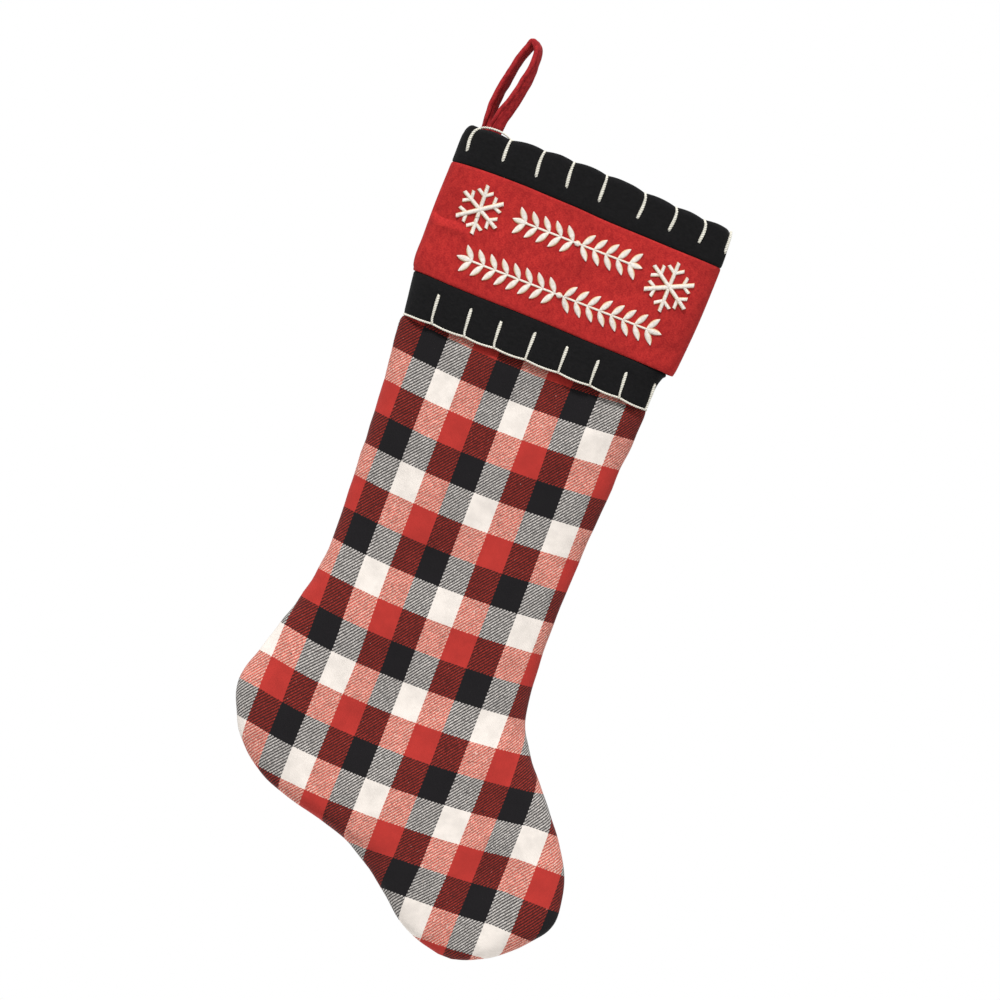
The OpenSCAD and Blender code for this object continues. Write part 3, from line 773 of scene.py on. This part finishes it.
# Each row: left x and z, right x and z, part of the foot's half depth, squareness
OUTLINE = (
    (-89.8, -5, 90.0, -5, 0.68, 8),
    (-86.5, -60, 86.0, -60, 0.65, 8),
    (-83.8, -112, 80.0, -112, 0.64, 8),
    (-84.0, -125.5, 80.4, -125.5, 0.62, 7),
    (-87.6, -131.5, 83.0, -131.5, 0.66, 6),
    (-86.9, -143, 82.9, -143, 0.74, 6),
    (-82.8, -178, 80.8, -178, 0.86, 5),
    (-79.0, -240, 77.8, -240, 0.92, 4.5),
    (-77.2, -288, 77.1, -288, 0.93, 4.5),
    (-82.1, -320, 79.2, -326, 0.95, 4.5),
    (-91.8, -353, 84.5, -351, 0.98, 4.5),
    (-99.2, -378, 97, -370, 1, 4.5),
    (-101, -391, 113, -389, 1, 4.5),
    (-96, -406, 126, -405, 1, 4.2),
    (-87, -421, 137, -420, 1, 4),
    (-72, -436, 144.5, -436, 0.98, 4),
    (-48, -447, 148.5, -455, 0.94, 4),
    (0, -460, 146, -468, 0.88, 3.6),
    (30, -478, 137, -480, 0.78, 3.3),
    (52, -496, 123.2, -494, 0.58, 3),
    (68, -504, 108.5, -503, 0.36, 3),
    (84, -508, 94, -508, 0, 3),
)
FOOT_HALF = 13.2
ROW_STEPS = 7
PANEL_COLS = 72


def outline_rows():
    """The outline's rows with smooth steps between them."""
    at = np.arange(len(OUTLINE))
    fine = np.linspace(0, len(OUTLINE) - 1, (len(OUTLINE) - 1) * ROW_STEPS + 1)
    table = np.array(OUTLINE, float)
    return np.array([smooth_line(*zip(at, table[:, c]))(fine) for c in range(6)]).T


def drawn_in(end, other, inset):
    """One side of the outline moved in, square to its own line, towards the other side."""
    inward = unit(np.gradient(end, axis=0)) @ np.array([[0, -1], [1, 0]])
    inward[np.sum(inward * (other - end), 1) < 0] *= -1
    return end + inward * np.reshape(inset, (-1, 1))


def panel_grid(inset, side, seed):
    """Points of a sock layer and their places on the flat cloth. side is -1 for the front."""
    rows = outline_rows()
    left, right = rows[:, 0:2], rows[:, 2:4]
    uncovered = below(left[:, 1], -140, 12)
    left_wave = ripple(*left.T, 5, 26, 0.28) * uncovered
    right_wave = ripple(*right.T, 6, 26, 0.28) * uncovered
    left, right = drawn_in(left, right, inset + left_wave), drawn_in(right, left, inset + right_wave)
    u = -np.cos(np.linspace(0, math.pi, PANEL_COLS + 1))
    share = (u + 1) / 2
    flat = left[:, None] + (right - left)[:, None] * share[None, :, None]
    bulge = np.sqrt(np.maximum(0, 1 - np.abs(u)[None] ** rows[:, 5:6]))
    depth = np.maximum(0, rows[:, 4:5] * FOOT_HALF - inset) * bulge
    x, z = flat[..., 0], flat[..., 1]
    free = below(z, -130, 14)
    edge = np.minimum(x - left[:, None, 0], right[:, None, 0] - x)
    pucker = np.exp(-np.clip(edge, 0, 60) / 7.0) * ripple(x * 0.6, z * 1.8, seed + 3, 17, 0.45)
    soft = ripple(x, z, seed, 85, 1.0) + ripple(x, z, seed + 1, 38, 0.35) + pucker
    depth = np.maximum(depth + soft * free * np.clip(bulge * 1.3 - 0.1, 0, 1), 0.0) + 0.04
    points = np.stack([x, side * depth, z], 2)
    return points, cloth_places(points, side)


FIRST_COLUMN = 71.6
FIRST_ROW = -156
ROW_GROWTH = 0.1
COLUMN_SHIFT = smooth_line(
    (-80, 0.2), (-50, -0.2), (-20, -0.7), (10, -1.6), (40, -0.8), (70, 0.6), (100, -0.6), (130, 0.4)
)


def cloth_places(points, side):
    """Where each point lies on the flat check: its columns and its slightly bowed rows."""
    x, y, z = points[..., 0], points[..., 1], points[..., 2]
    middle = points.shape[1] // 2
    dx, dy = np.diff(x, axis=1), np.diff(y, axis=1)
    extra = np.concatenate([np.zeros((len(x), 1)), np.cumsum(np.hypot(dx, dy) - np.abs(dx), 1)], 1)
    extra = extra - extra[:, middle : middle + 1]
    across = x + extra + FIRST_COLUMN - COLUMN_SHIFT(x)
    across += 0.9 * below(z, -390, 40) - 2.7 * below(z, -160, 270)
    across += 1.2 * around(x, 40, 18) * around(z, -155, 30)
    across -= 1.6 * around(x, -38, 32) * around(z, -345, 28)
    across += 1.9 * around(x, 40, 40) * below(z, -455, 25)
    sag = 4.7 * (np.clip(x, -110, 110) / 80) ** 2
    sag += below(z, -435, 45) * np.clip(2.4 - 0.045 * (x - 40), -2, 2.4)
    sag += 1.2 * around(x, 50, 40) * below(z, -430, 20) + 1.2 * around(x, -85, 18) * below(z, -315, 15)
    down = FIRST_ROW - (z - sag)
    row = (np.sqrt(ROW_HEIGHT**2 + 2 * ROW_GROWTH * down) - ROW_HEIGHT) / ROW_GROWTH
    if side > 0:
        across, row = across + 8.0, row + 0.4
    return np.stack([across, -ROW_HEIGHT * row], 2)


def layer_mesh(name, side, outer_in, thickness, seed):
    """One panel of the sock: a closed layer of cloth."""
    out_points, out_uv = panel_grid(outer_in, side, seed)
    in_points, in_uv = panel_grid(outer_in + thickness, side, seed)
    in_points[..., 1] = side * np.minimum(
        np.abs(in_points[..., 1]), np.maximum(np.abs(out_points[..., 1]) - thickness * 0.9, 0.02)
    )
    rows, cols = out_points.shape[:2]
    count = rows * cols
    skin = grid_quads(rows, cols)
    inner = skin[:, ::-1] + count
    r = np.arange(rows - 1) * cols
    left = np.stack([r, r + cols, r + cols + count, r + count], 1)
    right = (np.stack([r, r + cols, r + cols + count, r + count], 1) + cols - 1)[:, ::-1]
    c = np.arange(cols - 1)
    top = np.stack([c + 1, c, c + count, c + 1 + count], 1)
    end = (rows - 1) * cols
    low = np.stack([c + end, c + 1 + end, c + 1 + end + count, c + end + count], 1)
    quads = np.vstack([skin, inner, left, right, top, low])
    if side > 0:
        quads = quads[:, ::-1]
    points = np.vstack([out_points.reshape(-1, 3), in_points.reshape(-1, 3)])
    uv = np.vstack([out_uv.reshape(-1, 2), in_uv.reshape(-1, 2)])
    return make_mesh(name, points, quads[:, ::-1], uv)


SEAM_TOP = -4.0


def seam_run(inset):
    """The sock's side line, from the mouth down the heel side, round the toe and up again."""
    rows = outline_rows()
    left, right = rows[:, 0:2], rows[:, 2:4]
    line = np.vstack([drawn_in(left, right, inset), drawn_in(right, left, inset)[::-1]])
    line = line[line[:, 1] < SEAM_TOP]
    return np.stack([line[:, 0], np.zeros(len(line)), line[:, 1]], 1)


# ---- yarn and embroidery


STITCH_OUT = 0.42


def stitch_paths(top):
    """Blanket stitches of one edge, front and back: each one's line, root and side."""
    edge_line, inset = (TOP_EDGE, 2.2) if top else (LOWER_EDGE, 0.0)
    back_end, taper = (-15, 1.0) if top else (-109.5, 0.97)
    lines = []

    def add(root, end, x_at, side, count):
        edge = edge_line(root) - inset
        z = edge + np.linspace(0, 1, count) * (end - edge)
        x = x_at((edge + inset - z) / (edge + inset - end))
        y = face_y(x, z, side) + side * STITCH_OUT
        y[-2:] -= side * np.array([0.35, 1.2])
        lines.append((np.stack([x, y, z], 1), root, side))

    for root, middle, tip, end in UPPER_STITCHES if top else LOWER_STITCHES:
        add(root, end, stitch_line(root, middle, tip), -1, 20)
    for root in np.arange(-80, 90, BACK_PITCH):
        add(root, back_end, lambda share: np.full(share.shape, root * taper), 1, 16)
    return lines


def over_fold(start, root, side):
    """A stitch's way on over the cuff's top, from its end on the face to the inner skirt."""
    x0, y0, _ = start
    top = float(level_z(np.array([root]), 0.0)[0])
    points = []
    for a in np.radians(np.linspace(35, 168, 9)):
        x = root + (x0 - root) * max(0.0, math.cos(a))
        y = y0 - side * FOLD_R * (1 - math.cos(a))
        points.append([x, y, top - FOLD_R + (FOLD_R - 0.1) * math.sin(a)])
    points.append([root, y0 - side * (2 * FOLD_R + 0.2), top - FOLD_R - 3.0])
    return np.array(points)


def upper_stitches(material):
    pile = Pile()
    thick = smooth_line((0, 0.9), (0.4, 1.0), (0.85, 1.35), (1, 1.1))
    for line, root, side in stitch_paths(True):
        fold = over_fold(line[0], root, side)
        yarn(pile, soften(resample(np.vstack([fold[::-1], line]), 0.6), 3), thick=thick)
    return dress(pile.mesh("upper_blanket_yarn"), material, "cream_yarn", "upper_blanket_stitches")


def lower_stitches(material):
    pile = Pile()
    thick = smooth_line((0, 0.85), (0.3, 1.0), (0.75, 1.35), (1, 1.1))
    for line, _, _ in stitch_paths(False):
        yarn(pile, line, thick=thick)
    return dress(pile.mesh("lower_blanket_yarn"), material, "cream_yarn", "lower_blanket_stitches")


def upper_edge_yarn(material):
    """Yarn along the inner side of the fold. It rides up over the loop's foot."""
    ring = cuff_ring(0.0, 0.0, SKIRT_IN - 1.0)
    lift = 3.0 * np.exp(-(((ring[:, 0] + 74.5) / 13.5) ** 4)) * (RING_SIDE < 0)
    lift *= np.clip((ring[:, 0] + 87) / 4, 0, 1)
    ring[:, 2] += -1.5 + lift
    ring[:, 1] -= 0.6 * lift
    pile = Pile()
    yarn(pile, soften(ring, 2, True), EDGE_YARN_R, closed=True)
    return dress(pile.mesh("upper_edge_cord_yarn"), material, "cream_yarn", "upper_edge_yarn")


def lower_edge_yarn(material):
    ring = cuff_ring(3.0, 0.1, 0.25, True)
    pile = Pile()
    yarn(pile, soften(ring, 2, True), EDGE_YARN_R, closed=True)
    return dress(pile.mesh("lower_edge_cord_yarn"), material, "cream_yarn", "lower_edge_yarn")


STRAND_R = 0.19
STRAND_STEP = 0.33


def satin(pile, a, b, height):
    """Strands of satin stitch side by side on the cuff's front, each from a point of a to one of b."""
    a, b = np.asarray(a, float), np.asarray(b, float)
    f = np.array([0.0, 0.06, 0.2, 0.4, 0.6, 0.8, 0.94, 1.0])
    centre = a[:, None] + (b - a)[:, None] * f[None, :, None]
    lift = height * np.sqrt(np.maximum(0, 1 - np.abs(2 * f - 1) ** 2.4)) - 0.12
    y = face_y(centre[..., 0], centre[..., 1], -1) - lift[None]
    spine = np.stack([centre[..., 0], y, centre[..., 1]], 2)
    way = unit(b - a)
    side = np.stack([-way[:, 1], np.zeros(len(a)), way[:, 0]], 1)
    turn = np.linspace(0, 2 * math.pi, 5, endpoint=False)
    r = STRAND_R * np.array([0.3, 0.9, 1, 1, 1, 1, 0.9, 0.3])
    ring = (
        np.cos(turn)[None, None, :, None] * side[:, None, None, :]
        + np.sin(turn)[None, None, :, None] * np.array([0, -1.0, 0])
    )
    points = spine[:, :, None] + ring * r[None, :, None, None]
    one = grid_quads(len(f), 5, False, True)
    size = len(f) * 5
    quads = (one[None] + (np.arange(len(a)) * size)[:, None, None]).reshape(-1, 4)
    places = np.stack(np.broadcast_arrays(f[None, :, None], np.arange(len(a))[:, None, None]), 3)
    places = np.repeat(places, 5, axis=2).reshape(-1, 2)
    pile.add(points, quads, places)


def satin_row(pile, start, angle, s, left, right, slant, height):
    """Strands across a line from start, at places s, that reach left and right of it."""
    way = np.array([math.cos(angle), math.sin(angle)])
    over = np.array([-way[1], way[0]])
    base = np.asarray(start) + s[:, None] * way
    a = base + left[:, None] * over + slant * way
    b = base - right[:, None] * over - slant * way
    satin(pile, a, b, height)


def satin_bar(pile, start, angle, length, width, height, slant=0.35):
    """A straight bar of satin stitch."""
    s = np.arange(0, length, STRAND_STEP)
    rng = np.random.default_rng(int(abs(start[0]) * 10 + angle * 100) % 9999)
    left, right = width / 2 + rng.uniform(-0.08, 0.08, (2, len(s)))
    satin_row(pile, start, angle, s, left, right, slant, height)


def satin_leaf(pile, start, angle, length, width, height):
    """A pointed leaf of satin stitch that grows from start."""
    s = np.arange(0.15, length - 0.1, STRAND_STEP)
    half = width / 2 * (1 - (2 * s / length - 1) ** 2) + 0.15
    satin_row(pile, start, angle, s, half, half, 0.3 * half[:, None], height)


# Bars of the snowflakes in the order of sewing: angle, half length and width
LEFT_BARS = ((92.3, 16.4, 2.9), (150.7, 15.6, 2.9), (34.3, 15.8, 3.1))
RIGHT_BARS = ((88.9, 16.9, 2.8), (25.0, 16.2, 3.2), (145.5, 17.1, 2.9))


def snowflake(name, centre, bars, node, material):
    """Three crossed bars with pairs of short branches."""
    pile = Pile()
    for degrees, radius, width in bars:
        for way in (0, 180):
            angle = math.radians(degrees + way)
            at = np.array(centre) + 0.56 * radius * np.array([math.cos(angle), math.sin(angle)])
            for turn in (-56, 56):
                satin_bar(pile, at, angle + math.radians(turn), 0.38 * radius, 2.5, 0.8)
    for k, (degrees, radius, width) in enumerate(bars):
        angle = math.radians(degrees)
        start = np.array(centre) - radius * np.array([math.cos(angle), math.sin(angle)])
        satin_bar(pile, start, angle, 2 * radius, width, 1.0 + 0.22 * k)
    return dress(pile.mesh(name), material, "satin_thread", node)


def garland(name, left, right, z, node, material):
    """A stem with leaves in pairs that point away from a berry in its middle."""
    half, middle = (right - left) / 2, (left + right) / 2
    leaf, leaf_width, pitch = 11.0, 4.0, 8.2
    pile = Pile()
    stem = half - leaf + 1
    pairs = int((half - leaf) // pitch) + 1
    for way in (0, math.pi):
        sign = math.cos(way)
        satin_bar(pile, (middle, z), way, stem, 1.5, 0.5, 0.5)
        satin_leaf(pile, (middle + sign * (half - leaf), z), way, leaf, leaf_width, 0.8)
        for k in range(pairs):
            at = (middle + sign * (3 + k * pitch), z)
            for turn in (-55, 55):
                satin_leaf(pile, at, way + math.radians(turn), leaf, leaf_width, 0.75)
    berry = np.linspace(-1.9, 1.9, 12)
    reach = np.sqrt(np.maximum(0.05, 2.05**2 - berry**2))
    a = np.stack([middle + berry, z + reach], 1)
    b = np.stack([middle + berry, z - reach], 1)
    satin(pile, a, b, 1.2)
    return dress(pile.mesh(name), material, "satin_thread", node)


# ---- the hanging loop

# Legs of the loop: height, centre x and depth y, and turn of the tape about the vertical
LEFT_LEG = (
    (-26, -78.0, 4.4, 88), (-14, -78.0, 3.0, 88), (0, -78.1, 1.6, 86), (4, -78.6, 1.8, 78),
    (9, -79.7, 2.6, 56), (14, -80.7, 3.4, 38), (19.5, -81.4, 3.8, 30), (25, -81.2, 3.8, 28),
    (30, -80.65, 3.8, 28), (35, -79.8, 3.6, 28), (40, -79.0, 3.3, 26), (45, -78.05, 3.0, 24),
    (50, -77.2, 2.6, 24), (54, -76.3, 2.3, 24), (57, -75.3, 2.0, 25), (60, -74.2, 1.6, 26),
    (64, -72.7, 1.0, 26), (66.4, -72.1, 0.5, 26),
)
RIGHT_LEG = (
    (66.3, -70.1, -0.5, 24), (65, -68.4, -0.9, 23), (63, -67.2, -1.3, 22), (60, -66.4, -1.8, 21),
    (57, -66.2, -2.2, 22), (54, -66.15, -2.5, 23), (50, -66.1, -2.8, 27), (45, -66.6, -3.1, 35),
    (40, -67.3, -3.4, 41), (35, -68.2, -3.6, 44), (30, -69.1, -3.7, 47), (25, -70.2, -3.7, 53),
    (19.5, -71.9, -3.4, 62), (14, -73.4, -3.0, 70), (9, -74.2, -2.4, 76), (4, -74.8, -1.8, 84),
    (0, -75.0, -1.5, 88), (-14, -75.2, -0.2, 88), (-26, -75.2, 1.2, 88),
)
TAPE_HALF = 5.1
TAPE_THICK = 1.95
GROOVE_AT = -2.9


def loop_line():
    """The tape's centre line with its turn, up the left leg and down the right one."""
    apex = [(67.5, -71.3, 0.0, 25)]
    rows = np.array(list(LEFT_LEG) + apex + list(RIGHT_LEG), float)
    points = rows[:, [1, 2, 0]]
    length = np.concatenate([[0], np.cumsum(np.linalg.norm(np.diff(points, axis=0), axis=1))])
    at = np.linspace(0, length[-1], 300)
    line = np.array([smooth_line(*zip(length, points[:, i]))(at) for i in range(3)]).T
    turn = smooth_line(*zip(length, rows[:, 3]))(at)
    return soften(line, 3), soften(turn[:, None], 8)[:, 0], at


def tape_section():
    """Width and thickness places round the folded tape, with its topstitch groove."""
    a = np.linspace(0, 2 * math.pi, 72, endpoint=False)
    w = TAPE_HALF * np.sign(np.cos(a)) * np.abs(np.cos(a)) ** 0.55
    n = TAPE_THICK * np.sign(np.sin(a)) * np.abs(np.sin(a)) ** 0.62
    return w, n * (1 - 0.38 * around(w, GROOVE_AT, 0.45))


def tape_frames():
    line, turn, at = loop_line()
    along = unit(np.gradient(line, axis=0))
    turn = np.radians(turn)
    wide = np.stack([np.sin(turn), np.cos(turn), np.zeros(len(turn))], 1)
    wide = unit(wide - np.sum(wide * along, 1)[:, None] * along)
    out = np.cross(along, wide)
    return line, wide, out, at


def hanging_tape(material):
    line, wide, out, at = tape_frames()
    w, n = tape_section()
    crinkle = 1 + 0.02 * ripple(at, at * 0, 31, 14, 1.0)[:, None]
    ww = w[None, :] * crinkle
    nn = n[None, :] + 0.13 * ripple(at[:, None], w[None, :] * 1.5, 33, 8, 1.0)
    points = line[:, None] + ww[..., None] * wide[:, None] + nn[..., None] * out[:, None]
    count = len(w)
    uv = np.stack(np.broadcast_arrays(w[None, :] + np.sign(n)[None, :] * 7, at[:, None]), 2)
    quads = grid_quads(len(line), count, False, True)
    ends = []
    for row in (0, len(line) - 1):
        base = row * count
        for k in range(count // 2 - 1):
            face = [base + k, base + k + 1, base + count - 2 - k, base + count - 1 - k]
            ends.append(face if row == 0 else face[::-1])
    quads = np.vstack([quads, np.array(ends)])
    obj = make_mesh("hanging_tape", points.reshape(-1, 3), quads, uv.reshape(-1, 2))
    return dress(obj, material, "crimson_tape", "hanging_loop", "loop_tails")


def loop_topstitch(material):
    """Stitches in the tape's groove, on both faces."""
    line, wide, out, _ = tape_frames()
    pile = Pile()
    keep = slice(46, len(line) - 46)
    for face in (1, -1):
        path = line + wide * GROOVE_AT + out * face * TAPE_THICK * 0.66
        dashes(pile, path[keep], 1.9, 0.7, 0.2)
    return dress(pile.mesh("loop_stitching"), material, "crimson_thread", "loop_topstitch")


def bar_tack(material):
    """Stitches that hold the tape's ends to the back of the sock."""
    pile = Pile()
    for x in np.arange(-81, -73.5, 0.9):
        path = [[x, 3.2, -25.5], [x + 0.2, 7.2, -24.4], [x, 8.6, -23.2]]
        tube(pile, resample(path, 0.8), 0.3, 6)
    return dress(pile.mesh("loop_tack_thread"), material, "cream_thread", "loop_bar_tack")


# ---- seams


def seam_threads(dark, cream):
    """Thread of every seam, laid in the cloth as it is sewn."""
    upper, lower = cuff_ring(1.0, 0.0, 1.25), cuff_ring(2.0, 0.0, 1.25, True)
    mouth = cuff_ring(0.0, -11.5, SKIRT_IN + FELT_T)
    made = []
    for name, node, line, stitch, radius, closed in (
        ("shell_seam", "shell_seam_thread", seam_run(0.9), 2.2, 0.28, False),
        ("lining_seam", "lining_seam_thread", seam_run(1.9), 2.2, 0.22, False),
        ("upper_band_seam", "cuff_upper_seam_stitches", upper, 2.4, 0.25, True),
        ("lower_band_seam", "cuff_lower_seam_stitches", lower, 2.4, 0.25, True),
        ("mouth_seam", "mouth_seam_stitches", mouth, 2.6, 0.24, True),
    ):
        pile = Pile()
        dashes(pile, line, stitch, 0.8, radius, closed)
        look, slot = (cream, "cream_thread") if name == "lining_seam" else (dark, "dark_thread")
        made.append(dress(pile.mesh(name), look, slot, node))
    return made


# ---- the whole object


def make_looks():
    """Every material, by a short name."""
    streak = linear(84, 80, 70), linear(216, 92, 76)
    return dict(
        black=felt_material("black_felt", linear(9, 9, 10), linear(24, 23, 24), streak[0], 0.30, 0.05),
        red=felt_material("red_felt", linear(158, 29, 32), linear(198, 51, 46), streak[1], 0.22, 0.04),
        check=flannel_material(),
        lining=cotton_material("lining_cotton", linear(214, 205, 186), linear(236, 229, 212)),
        facing=cotton_material("facing_cotton", linear(120, 20, 26), linear(150, 30, 34)),
        tape=cotton_material("tape_cotton", linear(148, 26, 32), linear(186, 45, 47)),
        yarn=thread_material("cream_yarn", linear(226, 221, 204), linear(248, 245, 234), 0.85),
        satin=satin_material("satin_thread"),
        dark=thread_material("dark_thread", linear(16, 16, 16), linear(36, 34, 34)),
        cream=thread_material("cream_thread", linear(220, 210, 186), linear(238, 230, 210)),
        crimson=thread_material("crimson_thread", linear(112, 8, 16), linear(150, 22, 30)),
    )


def sock_layers(looks):
    """The flannel's front and back, then the lining's."""
    made = []
    for layer, inset, thickness, look, slot in (
        ("shell", 0.0, FLANNEL_T, "check", "check_flannel"),
        ("lining", SEWN_IN, LINING_T, "lining", "cream_lining"),
    ):
        for face, side, seed in (("front", -1, 41), ("back", 1, 57)):
            piece = layer_mesh(f"{layer}_{face}_cloth", side, inset, thickness, seed)
            made.append(dress(piece, looks[look], slot, f"{layer}_{face}_panel"))
    return made


def build_object():
    """Makes every piece, and rides the stocking's pieces on its body; the loop's pieces are fixed in
    place.
    """
    looks = make_looks()
    yarn_look, satin_look = looks["yarn"], looks["satin"]
    layers = sock_layers(looks)
    bands = [cuff_upper_band(looks["black"]), cuff_centre_band(looks["red"])]
    bands += [cuff_lower_band(looks["black"]), cuff_facing(looks["facing"])]
    sewn = [
        upper_stitches(yarn_look), lower_stitches(yarn_look),
        upper_edge_yarn(yarn_look), lower_edge_yarn(yarn_look),
        snowflake("snowflake_left_satin", (-64.8, -47.9), LEFT_BARS, "snowflake_left", satin_look),
        snowflake("snowflake_right_satin", (67.5, -50.4), RIGHT_BARS, "snowflake_right", satin_look),
        garland("garland_upper_satin", -43, 47, -45.5, "garland_upper", satin_look),
        garland("garland_lower_satin", -68, 74, -81, "garland_lower", satin_look),
        bar_tack(looks["cream"]),
    ]
    sewn += seam_threads(looks["dark"], looks["cream"])
    for piece in layers + bands + sewn:
        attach(piece, "stocking")
    for piece in (hanging_tape(looks["tape"]), loop_topstitch(looks["crimson"])):
        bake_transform(piece)


# ---- stage, lights and camera


def stage():
    """A pale floor well below the toe."""
    bpy.ops.mesh.primitive_circle_add(
        vertices=96, radius=1.2, fill_type="NGON", location=(CUFF_MID * MM, 0.1, -1.0)
    )
    floor = bpy.context.object
    floor.name = "studio_floor"
    s = Shader("pale_floor", 0.9)
    tone = s.noise(s.object_place(), 0.02, 2.0)
    floor.data.materials.append(s.finish(s.mix(tone, (0.8, 0.8, 0.8, 1), (0.84, 0.84, 0.83, 1))))


def soft_world():
    """White all round, a little dimmer as light than as backdrop."""
    world = bpy.data.worlds.new("studio")
    bpy.context.scene.world = world
    world.use_nodes = True
    tree = world.node_tree
    backdrop = tree.nodes["Background"]
    backdrop.inputs["Color"].default_value = (1, 1, 1, 1)
    backdrop.inputs["Strength"].default_value = 1.0
    light = tree.nodes.new("ShaderNodeBackground")
    light.inputs["Color"].default_value = (0.97, 0.98, 1.0, 1)
    light.inputs["Strength"].default_value = 0.33
    seen = tree.nodes.new("ShaderNodeLightPath")
    mixed = tree.nodes.new("ShaderNodeMixShader")
    tree.links.new(seen.outputs["Is Camera Ray"], mixed.inputs[0])
    tree.links.new(light.outputs[0], mixed.inputs[1])
    tree.links.new(backdrop.outputs[0], mixed.inputs[2])
    tree.links.new(mixed.outputs[0], tree.nodes["World Output"].inputs[0])
    bpy.context.scene.view_settings.view_transform = "Standard"


def sun(name, way, strength, softness):
    """Soft light that travels along way."""
    lamp = bpy.data.lights.new(name, "SUN")
    lamp.energy = strength
    lamp.angle = math.radians(softness)
    obj = bpy.data.objects.new(name, lamp)
    obj.rotation_mode = "QUATERNION"
    obj.rotation_quaternion = Vector(way).to_track_quat("-Z", "Y")
    bpy.context.scene.collection.objects.link(obj)


def camera():
    """Level with the object and square to it, rolled so that the stocking leans as it does there."""
    roll = math.radians(21.2)
    distance, width = 3.0, 0.65
    middle = to_world([15.3, 0, -218.4])
    data = bpy.data.cameras.new("view")
    data.sensor_width = 36
    data.lens = 36 * distance / width
    obj = bpy.data.objects.new("view", data)
    right = Vector((math.cos(roll), 0, math.sin(roll)))
    up = Vector((-math.sin(roll), 0, math.cos(roll)))
    turn = Matrix((right, up, Vector((0, -1, 0)))).transposed()
    obj.matrix_world = Matrix.Translation((middle[0], -distance, middle[2])) @ turn.to_4x4()
    bpy.context.scene.collection.objects.link(obj)
    bpy.context.scene.camera = obj


build_object()
stage()
soft_world()
sun("key", (0.5, 0.62, -1.0), 3.0, 12)
sun("fill", (-0.9, 0.7, -0.8), 0.9, 35)
camera()
